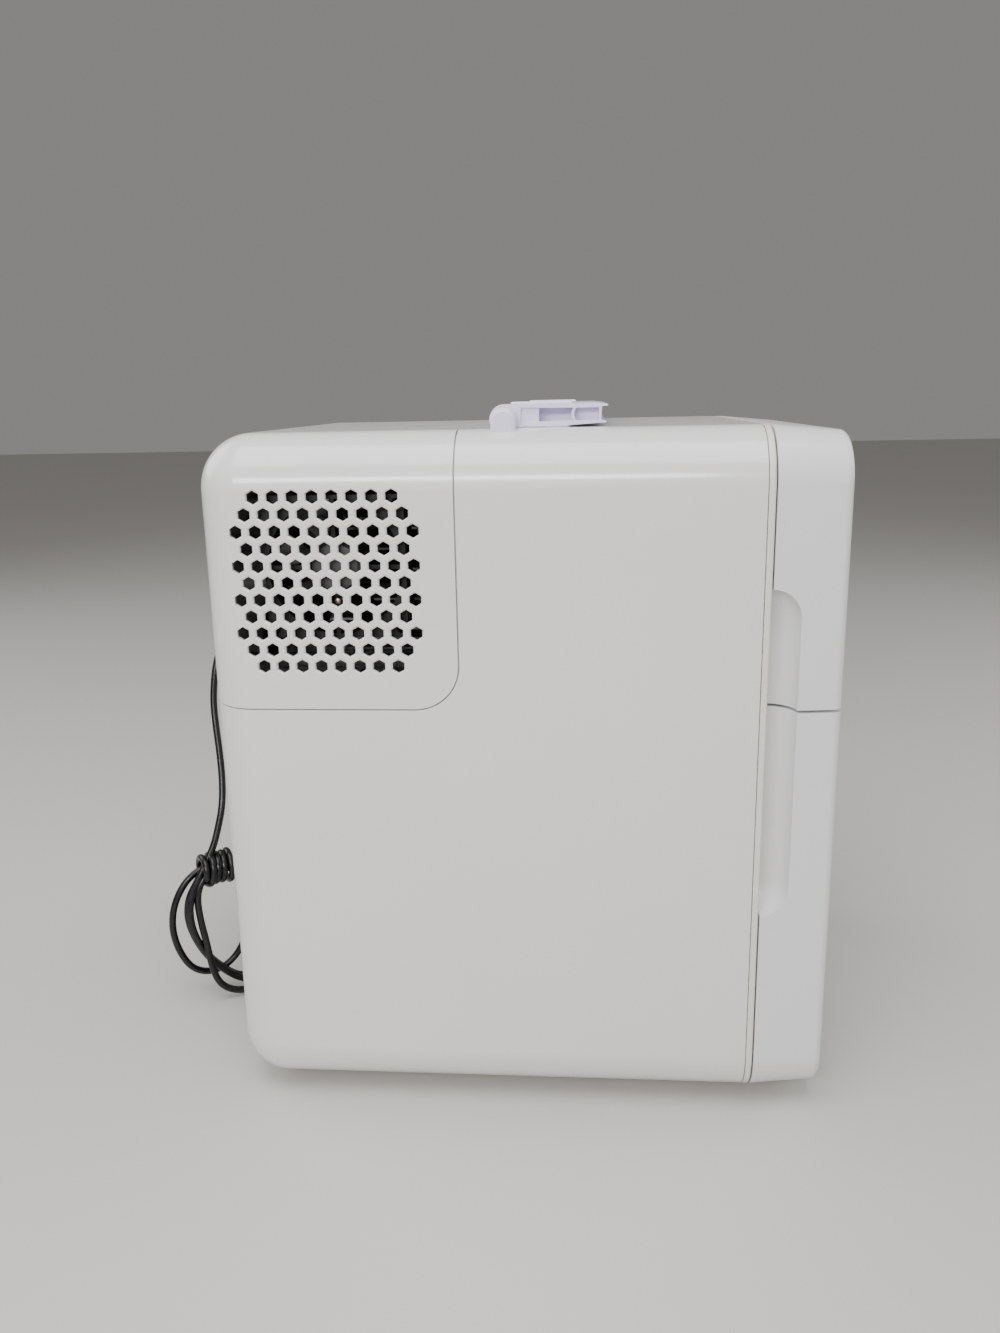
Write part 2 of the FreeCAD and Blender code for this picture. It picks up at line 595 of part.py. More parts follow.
def make_rear_fixings():
    """Stand-offs behind the insulation, and the screws that hold the shoulder cover to them."""
    posts, screws = [], []
    for a in (-104, 104):
        for b in (275, 372):
            post = body(f"standoff_{len(posts)}")
            pad(post, circle(sketch(post, "XZ", f"{S}foam_rear + 0.2"), str(a), str(b), "4.5"),
                f"{S}body_back - {S}shell_wall - {S}foam_rear - 0.3", reverse=True)
            bore(post, "XZ", f"{S}body_back", [(str(a), str(b))], "1.55", "20", reverse=True)
            posts.append(post)
            screw = body(f"screw_{len(screws)}")
            pad(screw, circle(sketch(screw, "XZ", f"{S}body_back - 1.2"), str(a), str(b), "3"), "1.1",
                reverse=True)
            pad(screw, circle(sketch(screw, "XZ", f"{S}body_back - 14"), str(a), str(b), "1.45"), "13",
                reverse=True)
            for low_a, high_a, low_b, high_b in ((a - 1.8, a + 1.8, b - 0.4, b + 0.4),
                                                 (a - 0.4, a + 0.4, b - 1.8, b + 1.8)):
                cross = rectangle(sketch(screw, "XZ", f"{S}body_back + 1"), str(low_a), str(high_a),
                                  str(low_b), str(high_b))
                pocket(screw, cross, "1.8", reverse=True)
            screws.append(screw)
    for name, links in (("rear_standoffs", posts), ("cover_screws", screws)):
        group = doc.addObject("Part::Compound", name)
        group.Links = links
        keep(group, name)


def make_rear_panel():
    """Recessed socket plate with the switch's bezel and rocker."""
    plate_y = f"{S}body_back - 5"
    plate = body("rear_socket_plate")
    slab(plate, f"-{S}panel_left - 2", f"{S}panel_right + 2", plate_y, f"{plate_y} + 2",
         f"{S}panel_low - 2.5", f"{S}panel_high + 2")
    slab(plate, f"{S}switch_x - 9.8", f"{S}switch_x + 9.8", f"{plate_y} - 1", f"{plate_y} + 3",
         f"{S}switch_z - 6.8", f"{S}switch_z + 6.8", kind="Pocket")
    bore(plate, "XZ", f"{plate_y} + 3", [(f"{S}exit_x", f"{S}exit_z")], "5.2", "5", reverse=True)
    keep(plate)
    bezel = body("switch_bezel")
    slab(bezel, f"{S}switch_x - 11.5", f"{S}switch_x + 11.5", f"{plate_y} + 2", f"{plate_y} + 3.4",
         f"{S}switch_z - 8.5", f"{S}switch_z + 8.5")
    slab(bezel, f"{S}switch_x - 9.6", f"{S}switch_x + 9.6", f"{plate_y} - 12", f"{plate_y} + 2.2",
         f"{S}switch_z - 6.6", f"{S}switch_z + 6.6")
    slab(bezel, f"{S}switch_x - 8.6", f"{S}switch_x + 8.6", f"{plate_y} - 8", f"{plate_y} + 4",
         f"{S}switch_z - 5.6", f"{S}switch_z + 5.6", kind="Pocket")
    keep(bezel)
    rocker = body("mode_switch_rocker")
    face = sketch(rocker, "XY", f"{S}switch_z - 5.3")
    middle = f"{S}switch_x"
    outline(face, [(f"{middle} - 7.6", f"{plate_y} - 1"), (f"{middle} - 3", f"{plate_y} - 4"),
                   (f"{middle} + 3", f"{plate_y} - 4"), (f"{middle} + 7.6", f"{plate_y} - 1"),
                   (f"{middle} + 7.6", f"{plate_y} + 3.7"), (middle, f"{plate_y} + 2.6"),
                   (f"{middle} - 7.6", f"{plate_y} + 3.7")])
    pad(rocker, face, "10.6")
    keep(rocker)


# ---------------------------------------------------------------- hinges and doors

def make_hinges():
    """Steel tongues that leave the front frame and carry the doors' pins."""
    half = f"{S}tongue_thick / 2"
    plans = (("top_hinge", f"{S}top_tongue", (-1,)), ("middle_hinge", f"{S}split_level", (-1, 1)),
             ("bottom_hinge", f"{S}bottom_tongue", (1,)))
    for name, level, pins in plans:
        tongue = body(name)
        slab(tongue, f"{HINGE_X} - 4.5", f"{HINGE_X} + 4.5", HINGE_Y, SEAM_Y, f"{level} - {half}",
             f"{level} + {half}")
        pad(tongue, circle(sketch(tongue, "XY", f"{level} - {half}"), HINGE_X, HINGE_Y, "4.5"),
            f"{S}tongue_thick")
        slab(tongue, f"{HINGE_X} - 14", f"{HINGE_X} - 1.5", SEAM_Y, f"{SEAM_Y} + 2", f"{level} - 11",
             f"{level} + 11")
        for side in pins:
            pin = circle(sketch(tongue, "XY", f"{level}"), HINGE_X, HINGE_Y, f"{S}pin_radius")
            pad(tongue, pin, f"{half} + 8", reverse=side < 0)
        keep(tongue)


def make_scoop(skin, flat, round_end):
    """Finger recess on the free side: a groove about the door's upright back corner, with one domed end.

    The groove's half-outline runs from its flat end, straight up or down at the recess radius, and closes
    on the corner line in a quarter circle that ends at round_end.
    """
    drawing = sketch(skin, "XZ", f"{DOOR_Y} + 0.5")
    drawing.setExpression(".AttachmentOffset.Base.x", f"-{S}body_width / 2")
    radius, start, end = value(f"{S}scoop_radius"), value(flat), value(round_end)
    upward = 1 if end > start else -1
    dome = end - upward * radius
    bend = V(radius * math.sqrt(0.5), dome + upward * radius * math.sqrt(0.5), 0)
    spots = [V(0, start, 0), V(radius, start, 0), V(radius, dome, 0), V(0, end, 0)]
    drawing.addGeometry(Part.LineSegment(spots[0], spots[1]), False)
    drawing.addGeometry(Part.LineSegment(spots[1], spots[2]), False)
    drawing.addGeometry(Part.Arc(spots[2], bend, spots[3]), False)
    drawing.addGeometry(Part.LineSegment(spots[3], spots[0]), False)
    arc_ends = (2, 1) if upward > 0 else (1, 2)
    drawing.addConstraint(Sketcher.Constraint("Coincident", 0, 2, 1, 1))
    drawing.addConstraint(Sketcher.Constraint("Coincident", 1, 2, 2, arc_ends[1]))
    drawing.addConstraint(Sketcher.Constraint("Coincident", 2, arc_ends[0], 3, 1))
    drawing.addConstraint(Sketcher.Constraint("Coincident", 3, 2, 0, 1))
    doc.recompute()
    before = skin.Shape.Volume
    groove = skin.newObject("PartDesign::Groove", f"{skin.Name}_scoop")
    groove.Profile = drawing
    groove.ReferenceAxis = (drawing, ["V_Axis"])
    groove.Angle = 360
    doc.recompute()
    if not skin.Shape.Volume < before - 1:
        raise RuntimeError(f"{skin.Label}: the finger recess cut nothing")


def make_door(name, low, high, tongues, bins):
    """One door: drafted outer skin, insulation, inner panel with its dyke, magnetic seal and bins."""
    skin = body(f"{name}_skin")
    pad(skin, casing_outline(skin, DOOR_Y, "0"), f"{S}door_thick", taper=f"-{S}door_draft")
    fillet(skin, f"{S}door_front_radius", in_plane("y", FRONT_Y))
    upper = value(low) > value(f"{S}split_level")
    cut_low, cut_high = ("0", low) if upper else (high, f"{TOP_Z} + 10")
    other = rectangle(sketch(skin, "YZ"), "-250", "-100", cut_low, cut_high)
    pocket(skin, other, FAR, symmetric=True)
    back, side = value(DOOR_Y), value(f"{S}body_width / 2")

    def hinge_corner(edge):
        box = edge.BoundBox
        return along(V(0, 0, 1))(edge) and abs(box.YMax - back) < 1e-3 and box.XMin > side - 1
    fillet(skin, f"{S}hinge_inset - 0.1", hinge_corner)
    if upper:
        make_scoop(skin, f"{low} - 4", f"{S}scoop_high")
    else:
        make_scoop(skin, f"{high} + 4", f"{S}scoop_low")
    room_low = f"{low} + 3" if upper else "24"
    room_high = "388" if upper else f"{high} - 3"
    slab(skin, "-125", "129", f"{FRONT_Y} + 3", f"{DOOR_Y} + 1", room_low, room_high, kind="Pocket")
    for level in tongues:
        slab(skin, f"{HINGE_X} - 5", f"{S}body_width / 2 + 1", f"{DOOR_Y} - 16", f"{DOOR_Y} + 1",
             f"{level} - {S}tongue_thick / 2 - 0.6", f"{level} + {S}tongue_thick / 2 + 0.6", kind="Pocket")
    play = f"{S}pin_radius + {S}pin_play"
    first, last = tongues
    bottom_hole = circle(sketch(skin, "XY", first), HINGE_X, HINGE_Y, play)
    pocket(skin, bottom_hole, f"{S}tongue_thick / 2 + 9", reverse=True)
    top_hole = circle(sketch(skin, "XY", last), HINGE_X, HINGE_Y, play)
    pocket(skin, top_hole, f"{S}tongue_thick / 2 + 9")
    keep(skin)
    plate_y = f"{DOOR_Y} - 3"
    plain_box(f"{name}_foam", "-124.6", "128.6", f"{FRONT_Y} + 3.3", f"{plate_y} - 2.3", f"{room_low} + 0.4",
              f"{room_high} - 0.4")
    panel = body(f"{name}_liner")
    slab(panel, "-124.6", "128.6", f"{plate_y} - 2", plate_y, f"{room_low} + 0.4", f"{room_high} - 0.4")
    room = "upper" if upper else "lower"
    mouth_low, mouth_high = f"{S}{room}_low", f"{S}{room}_high"
    slab(panel, "-108", "108", plate_y, f"{plate_y} + 18", f"{mouth_low} + 5", f"{mouth_high} - 5")
    fillet(panel, "6", lambda edge: along(V(0, 1, 0))(edge) and abs(edge.BoundBox.XMin) < 109)
    slab(panel, "-105.5", "105.5", f"{plate_y} - 0.4", f"{plate_y} + 19", f"{mouth_low} + 7.5",
         f"{mouth_high} - 7.5", kind="Pocket")
    keep(panel)
    seal = body(f"{name}_gasket")
    slab(seal, "-124", "124", plate_y, f"{FRAME_Y} - 0.3", f"{mouth_low} - 9.5", f"{mouth_high} + 9.3")
    slab(seal, "-117", "117", f"{plate_y} - 1", f"{FRAME_Y} + 1", f"{mouth_low} - 2.5", f"{mouth_high} + 2",
         kind="Pocket")
    keep(seal)
    for label, bin_low, bin_high in bins:
        rack = body(label)
        bin_back = f"{plate_y} + 0.3"
        slab(rack, "-105", "105", bin_back, f"{bin_back} + {S}bin_depth", bin_low, bin_high)
        fillet(rack, "5", lambda edge: along(V(0, 0, 1))(edge) and edge.BoundBox.YMin > -100)
        slab(rack, f"-105 + {S}bin_wall", f"105 - {S}bin_wall", f"{bin_back} + {S}bin_wall",
             f"{bin_back} + {S}bin_depth - {S}bin_wall", f"{bin_low} + {S}bin_wall", f"{bin_high} + 1",
             kind="Pocket")
        keep(rack)


def make_doors():
    """The two doors and what they carry."""
    half_gap = f"{S}split_gap / 2"
    make_door("upper_door", f"({S}split_level + {half_gap})", TOP_Z, (f"{S}split_level", f"{S}top_tongue"),
              (("upper_door_bin", f"{S}upper_low + 9", f"{S}upper_low + 52"),))
    make_door("lower_door", f"{S}foot_height", f"({S}split_level - {half_gap})",
              (f"{S}bottom_tongue", f"{S}split_level"),
              (("lower_door_bin_high", "152", "197"), ("lower_door_bin_low", f"{S}lower_low + 9", "92")))


# ---------------------------------------------------------------- carry handle

def make_handle_posts():
    """Round-topped posts at both ends of the handle, cut to the casing's rounded top, and their pins."""
    form = body("casing_form")
    casing_solid(form, SEAM_Y, "(-0.05)")
    pins = []
    for name, side in (("left_handle_post", -1), ("right_handle_post", 1)):
        post = body(f"{name}_blank")
        ends = sorted((f"{side} * {S}post_outer", f"{side} * {S}post_inner"), key=value)
        slab(post, *ends, f"{S}pivot_y - {S}post_half", f"{S}pivot_y + {S}post_half", "400", f"{S}pivot_z")
        pad(post, circle(sketch(post, "YZ", ends[0]), f"{S}pivot_y", f"{S}pivot_z", f"{S}post_half"),
            f"{S}post_outer - {S}post_inner")
        face = f"{side} * {S}post_outer"
        fillet(post, "1.4", in_plane("x", face))
        hole = circle(sketch(post, "YZ", f"{side} * {S}post_inner"), f"{S}pivot_y", f"{S}pivot_z", "2.52")
        pocket(post, hole, "9", reverse=side > 0)
        cut = doc.addObject("Part::Cut", name)
        cut.Base, cut.Tool = post, form
        keep(cut, name)
        pin = doc.addObject("Part::Cylinder", f"handle_pin_{side + 1}")
        pin.Radius = 2.5
        pin.Placement = FreeCAD.Placement(V(0, 0, 0), FreeCAD.Rotation(V(0, 1, 0), 90))
        pin.setExpression("Height", f"{S}post_outer - {S}arm_inner - 5")
        start = f"-{S}post_outer + 4" if side < 0 else f"{S}arm_inner + 1"
        for axis, expression in (("x", start), ("y", f"{S}pivot_y"), ("z", f"{S}pivot_z")):
            pin.setExpression(f".Placement.Base.{axis}", expression)
        pins.append(pin)
    group = doc.addObject("Part::Compound", "handle_pins")
    group.Links = pins
    keep(group, "handle_pins")


def make_carry_handle():
    """Folding bail: two channel-section arms and a hollow grip bar across the front."""
    bail = body("carry_handle")
    width = f"2 * {S}arm_outer"
    side_view = outline(sketch(bail, "YZ"), [(f"{S}pivot_y", f"{S}bail_top"),
                                             (f"-{S}bail_front", f"{S}bail_top - 0.3"),
                                             (f"-{S}bail_front", f"{S}bail_bottom + 1.6"),
                                             ("-20", f"{S}bail_bottom"),
                                             (f"{S}pivot_y - 6.5", f"{S}bail_bottom")])
    pad(bail, side_view, width, symmetric=True)
    hubs = circle(sketch(bail, "YZ"), f"{S}pivot_y", f"{S}pivot_z", f"{S}hub_radius")
    pad(bail, hubs, width, symmetric=True)
    slab(bail, f"-{S}arm_inner", f"{S}arm_inner", "-28", "30", "400", "430", kind="Pocket")
    for side in (-1, 1):
        face = f"{side} * {S}arm_outer"
        room = rectangle(sketch(bail, "YZ", face), f"-{S}bail_front + 3", "-12", f"{S}bail_bottom + 2",
                         f"{S}bail_top - 3")
        pocket(bail, room, "8", reverse=side < 0)
        hub = circle(sketch(bail, "YZ", face), f"{S}pivot_y", f"{S}pivot_z", "2.56")
        pocket(bail, hub, "20", reverse=side < 0)
    under = rectangle(sketch(bail, "XZ", "-28"), f"-{S}arm_inner + 2", f"{S}arm_inner - 2",
                      f"{S}bail_bottom + 3", f"{S}bail_top - 2.4")
    pocket(bail, under, "14.5", reverse=True)
    keep(bail)
    inlays = []
    for side in (-1, 1):
        inlay = body(f"inlay_{side + 1}")
        ends = sorted((f"{side} * ({S}arm_outer - 2)", f"{side} * ({S}arm_inner + 2)"), key=value)
        slab(inlay, *ends, "-31", "3", f"{S}bail_top + 0.02", f"{S}bail_top + 1.2")
        fillet(inlay, "0.8", in_plane("z", f"{S}bail_top + 1.2"))
        inlays.append(inlay)
    group = doc.addObject("Part::Compound", "handle_inlays")
    group.Links = inlays
    keep(group, "handle_inlays")


# ---------------------------------------------------------------- mains lead

def cord_path(points):
    """Straight runs joined by tangent arcs, each arc as large as its two runs allow."""
    spots = [V(*point) for point in points]
    edges, start = [], spots[0]
    for before, corner, after in zip(spots, spots[1:], spots[2:]):
        run_in, run_out = corner - before, after - corner
        turn = run_in.getAngle(run_out)
        reach = 0.45 * min(run_in.Length, run_out.Length)
        radius = reach / math.tan(turn / 2)
        print(f"cord bend: turn {math.degrees(turn):.1f} degrees, radius {radius:.1f}")
        run_in.normalize()
        run_out.normalize()
        begin, end = corner - run_in * reach, corner + run_out * reach
        inward = (run_out - run_in).normalize()
        centre = corner + inward * (radius / math.cos(turn / 2))
        edges.append(Part.LineSegment(start, begin).toShape())
        edges.append(Part.Arc(begin, centre - inward * radius, end).toShape())
        start = end
    edges.append(Part.LineSegment(start, spots[-1]).toShape())
    return Part.Wire(edges)


def make_tube(name, points):
    """Round lead along a path, its volume compared with its section times its length."""
    radius = value(f"{S}cord_radius")
    path = cord_path(points)
    start = path.OrderedEdges[0]
    tangent = start.tangentAt(start.FirstParameter)
    ring = Part.Wire(Part.makeCircle(radius, V(*points[0]), tangent))
    tube = path.makePipeShell([ring], True, False)
    expected = math.pi * radius ** 2 * path.Length
    print(f"{name}: length {path.Length:.1f}, volume {tube.Volume:.0f} of {expected:.0f}")
    if abs(tube.Volume / expected - 1) > 0.02:
        raise RuntimeError(f"{name}: the tube has the wrong volume")
    made = doc.addObject("Part::Feature", name)
    made.Shape = tube if tube.ShapeType == "Solid" else Part.Solid(tube)
    keep(made, name)


def make_cord():
    """Tapered relief, the hanging lead, its standing coil and tie, the tail and the plug."""
    relief = body("cord_relief")
    profile = sketch(relief, "YZ", f"{S}exit_x")
    profile.setExpression(".AttachmentOffset.Base.y", f"{S}exit_z")
    inner, lip, face = f"{S}body_back - 8", f"{S}body_back - 3", f"{S}body_back - 2.4"
    outline(profile, [(inner, "0"), (f"{S}exit_y", "0"), (f"{S}exit_y", "3.3"), (face, "5"), (face, "6.6"),
                      (lip, "6.6"), (lip, "5"), (inner, "5")])
    turn = relief.newObject("PartDesign::Revolution", "relief_turn")
    turn.Profile = profile
    turn.ReferenceAxis = (profile, ["H_Axis"])
    turn.Angle = 360
    keep(relief)
    make_tube("power_cord", CORD_DOWN)
    make_tube("power_cord_tail", CORD_TAIL)
    coil = body("power_cord_coil")
    pad(coil, rounded_frame(sketch(coil, "YZ"), "42", "52.2", "34"), "24", symmetric=True)
    pocket(coil, rounded_frame(sketch(coil, "YZ"), "25", "35", "24"), "24", symmetric=True)
    place(coil, "-20", "223.5", "53.7", 38)
    keep(coil)
    tie = body("cord_tie")
    pad(tie, rounded_frame(sketch(tie, "YZ"), "9", "5", "4"), "20", symmetric=True)
    place(tie, "-24.3", "229", "110.9", 38)
    keep(tie)
    plug = body("power_plug")
    slab(plug, "-9", "9", "0", "34", "-9", "9")
    fillet(plug, "5", along(V(0, 1, 0)))
    for side in (-1, 1):
        pin = circle(sketch(plug, "XZ", "34"), f"{side} * 4.75", "0", "2")
        pad(plug, pin, "17", reverse=True)
    place(plug, "44", "223", "9.3", -90)
    keep(plug)


def check_and_write():
    """Prove that every piece is sound, then write each node to its own file."""
    doc.recompute()
    for thing in doc.Objects:
        if "Invalid" in thing.State or "Error" in thing.State:
            raise RuntimeError(f"{thing.Label} is in state {thing.State}")
    os.makedirs("parts", exist_ok=True)
    for node in NODES:
        if node.Shape.isNull() or not node.Shape.isValid():
            raise RuntimeError(f"{node.Label} has no valid shape")
        node.Shape.exportStep(f"parts/{node.Label}.step")
    print(f"{len(NODES)} nodes written")


make_outer_shell()
make_rear_vent_cover()
make_front_frame()
make_liners()
make_shelf()
make_foam()
make_feet()
make_thermal_core()
make_fans()
make_fan_cover()
make_electronics()
make_rear_fixings()
make_rear_panel()
make_hinges()
make_doors()
make_handle_posts()
make_carry_handle()
make_cord()
check_and_write()
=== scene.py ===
"""Looks of a two-door mini fridge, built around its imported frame.

Every piece is in metres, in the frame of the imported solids: +X to the hinge side, -Y to the doors,
+Z up, with the origin on the floor. The sizes in the classes are in millimetres.
"""
import logging
import math
from dataclasses import dataclass, field
from enum import Enum

import bmesh
import bpy
import numpy as np
from mathutils import Matrix, Vector


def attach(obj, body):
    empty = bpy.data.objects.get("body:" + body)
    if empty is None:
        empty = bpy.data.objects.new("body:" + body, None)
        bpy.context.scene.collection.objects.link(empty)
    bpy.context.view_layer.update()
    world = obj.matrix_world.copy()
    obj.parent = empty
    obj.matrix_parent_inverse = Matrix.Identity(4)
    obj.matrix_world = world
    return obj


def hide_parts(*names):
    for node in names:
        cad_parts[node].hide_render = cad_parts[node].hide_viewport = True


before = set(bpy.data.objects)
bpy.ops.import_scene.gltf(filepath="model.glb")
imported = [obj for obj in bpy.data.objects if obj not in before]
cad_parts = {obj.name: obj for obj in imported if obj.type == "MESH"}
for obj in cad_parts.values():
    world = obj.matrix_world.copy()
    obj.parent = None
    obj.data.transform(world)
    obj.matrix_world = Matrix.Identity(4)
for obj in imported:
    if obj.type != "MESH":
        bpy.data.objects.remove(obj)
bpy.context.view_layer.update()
MM = 0.001
HANDLE_PIVOT = (6.7, 414.5)
LOG = logging.getLogger("mini_fridge")


class Axis(Enum):
    """Direction that a prism or a turned piece runs in."""

    X = 0
    Y = 1
    Z = 2


class Cut(Enum):
    """How one closed solid changes another."""

    REMOVE = "DIFFERENCE"
    KEEP_COMMON = "INTERSECT"
    ADD = "UNION"


# ---------------------------------------------------------------- surfaces

def make_object(name: str, points: np.ndarray, faces: list[np.ndarray]) -> bpy.types.Object:
    """Put points and faces into a mesh object whose faces point outwards.

    Args:
        name: Name of the piece.
        points: Corner points in millimetres, one row each.
        faces: Arrays of point numbers, each array with its own count of corners a face.

    Returns:
        The linked object.
    """
    mesh = bpy.data.meshes.new(name)
    rows = [tuple(row) for group in faces for row in np.atleast_2d(group).tolist()]
    mesh.from_pydata((np.asarray(points, float) * MM).tolist(), [], rows)
    shell = bmesh.new()
    shell.from_mesh(mesh)
    bmesh.ops.remove_doubles(shell, verts=shell.verts, dist=1e-7)
    bmesh.ops.recalc_face_normals(shell, faces=shell.faces)
    shell.to_mesh(mesh)
    shell.free()
    mesh.polygons.foreach_set("use_smooth", np.ones(len(mesh.polygons), bool))
    made = bpy.data.objects.new(name, mesh)
    bpy.context.scene.collection.objects.link(made)
    return made


def grid_faces(rows: int, columns: int, wrap_rows: bool = False) -> np.ndarray:
    """Four-cornered faces of a grid of points whose rows are closed loops.

    Face (i, j) joins the points (i, j), (i, j+1), (i+1, j+1) and (i+1, j), counted round where the grid
    is closed.

    Args:
        rows: Points along the first parameter.
        columns: Points along the second parameter.
        wrap_rows: Whether the last row joins the first.

    Returns:
        Point numbers, four to a face.
    """
    i = np.arange(rows if wrap_rows else rows - 1)[:, None]
    j = np.arange(columns)[None, :]
    after_i, after_j = (i + 1) % rows, (j + 1) % columns
    corners = (i * columns + j, i * columns + after_j, after_i * columns + after_j, after_i * columns + j)
    return np.stack([np.broadcast_to(c, (i.size, j.size)).ravel() for c in corners], axis=1)


def tube_of_loops(name: str, loops: np.ndarray, closed: bool = True) -> bpy.types.Object:
    """Closed surface through a row of closed loops, with a flat cap at each end.

    Args:
        name: Name of the piece.
        loops: Points in millimetres, shaped (loops, points a loop, 3).
        closed: Whether the two ends get caps. Without them the last loop joins the first.

    Returns:
        The linked object.
    """
    rows, columns = loops.shape[:2]
    faces = [grid_faces(rows, columns, wrap_rows=not closed)]
    if closed:
        faces += [np.arange(columns)[::-1], (rows - 1) * columns + np.arange(columns)]
    return make_object(name, loops.reshape(-1, 3), faces)


def rounded_loops(half_x: float, half_z: float, radius: float, inset: np.ndarray, level: np.ndarray,
                  centre_z: float, steps: int) -> np.ndarray:
    """Rounded rectangles, one for each inset, standing at their levels of Y.

    Each corner is a quarter circle of radius - inset about a centre that stays put, so the loops are
    offsets of each other.

    Args:
        half_x: Half width of the loop that has no inset.
        half_z: Half height of that loop.
        radius: Corner radius of that loop.
        inset: How far inwards each loop lies.
        level: Y of each loop.
        centre_z: Height of the loops' centre.
        steps: Segments in each corner.

    Returns:
        Points shaped (loops, 4 * (steps + 1), 3).
    """
    inset, level = np.asarray(inset, float)[:, None], np.asarray(level, float)[:, None]
    quarter = np.linspace(0.0, math.pi / 2, steps + 1)
    angle = (quarter[None, :] + np.arange(4)[:, None] * math.pi / 2).ravel()
    sign_x = np.repeat([1, -1, -1, 1], steps + 1)
    sign_z = np.repeat([1, 1, -1, -1], steps + 1)
    corner = np.maximum(radius - inset, 0.05)
    x = sign_x * (half_x - inset - corner) + corner * np.cos(angle)
    z = centre_z + sign_z * (half_z - inset - corner) + corner * np.sin(angle)
    return np.stack([x, np.broadcast_to(level, x.shape), z], axis=2)


def prism(name: str, outline: np.ndarray, axis: Axis, low: float, high: float) -> bpy.types.Object:
    """Closed prism of a flat outline.

    Args:
        name: Name of the piece.
        outline: Corners in the plane across the axis, in the order of the two other axes.
        axis: Direction that the outline is carried in.
        low: Level of the first end.
        high: Level of the other end.

    Returns:
        The linked object.
    """
    flat = np.asarray(outline, float)
    loops = np.stack([np.insert(flat, axis.value, level, axis=1) for level in (low, high)])
    return tube_of_loops(name, loops)


def block(name: str, low: tuple[float, float, float], high: tuple[float, float, float]) -> bpy.types.Object:
    """Box between two corners, used to cut other pieces."""
    outline = np.array([(low[0], low[1]), (high[0], low[1]), (high[0], high[1]), (low[0], high[1])])
    return prism(name, outline, Axis.Z, low[2], high[2])


def turned(name: str, profile: np.ndarray, centre: tuple[float, float, float], axis: Axis,
           steps: int = 48) -> bpy.types.Object:
    """Closed solid of revolution.

    A point at distance r from the axis and at height h turns through angle t to
    (h, r cos t, r sin t), put in the order that the axis asks for.

    Args:
        name: Name of the piece.
        profile: Rows of (height along the axis, distance from it), from one end to the other.
        centre: Point that heights are measured from.
        axis: Direction of the axis.
        steps: Segments round the axis.

    Returns:
        The linked object.
    """
    height, reach = np.asarray(profile, float).T
    angle = np.linspace(0.0, 2 * math.pi, steps, endpoint=False)[None, :]
    along = np.broadcast_to(height[:, None], (height.size, steps))
    parts = [along, reach[:, None] * np.cos(angle), reach[:, None] * np.sin(angle)]
    order = {Axis.X: (0, 1, 2), Axis.Y: (1, 0, 2), Axis.Z: (1, 2, 0)}[axis]
    loops = np.stack([parts[i] for i in order], axis=2) + np.asarray(centre, float)
    return tube_of_loops(name, loops)


def carve(target: bpy.types.Object, tool: bpy.types.Object, cut: Cut = Cut.REMOVE) -> bpy.types.Object:
    """Change a closed solid with another one, which is used up.

    Args:
        target: Solid that is changed.
        tool: Solid that changes it.
        cut: What is done with the space that they share.

    Returns:
        The target.
    """
    change = target.modifiers.new("cut", "BOOLEAN")
    change.operation = cut.value
    change.solver = "EXACT"
    change.object = tool
    settled = target.evaluated_get(bpy.context.evaluated_depsgraph_get())
    mesh = bpy.data.meshes.new_from_object(settled)
    target.modifiers.clear()
    target.data = mesh
    bpy.data.objects.remove(tool)
    return target


def soften(piece: bpy.types.Object, width: float, angle: float = 35.0) -> bpy.types.Object:
    """Round a moulding's sharp edges and let its flat faces lead the shading.

    Args:
        piece: Object to finish.
        width: Width of the rounding in millimetres.
        angle: Edges that turn by more degrees than this are rounded.

    Returns:
        The same object.
    """
    mesh = piece.data
    mesh.polygons.foreach_set("use_smooth", np.ones(len(mesh.polygons), bool))
    round_over = piece.modifiers.new("edge", "BEVEL")
    round_over.width = width * MM
    round_over.segments = 2
    round_over.limit_method = "ANGLE"
    round_over.angle_limit = math.radians(angle)
    round_over.use_clamp_overlap = True
    round_over.miter_outer = "MITER_ARC"
    lead = piece.modifiers.new("shading", "WEIGHTED_NORMAL")
    lead.mode = "FACE_AREA"
    lead.weight = 90
    return piece


# ---------------------------------------------------------------- finishes

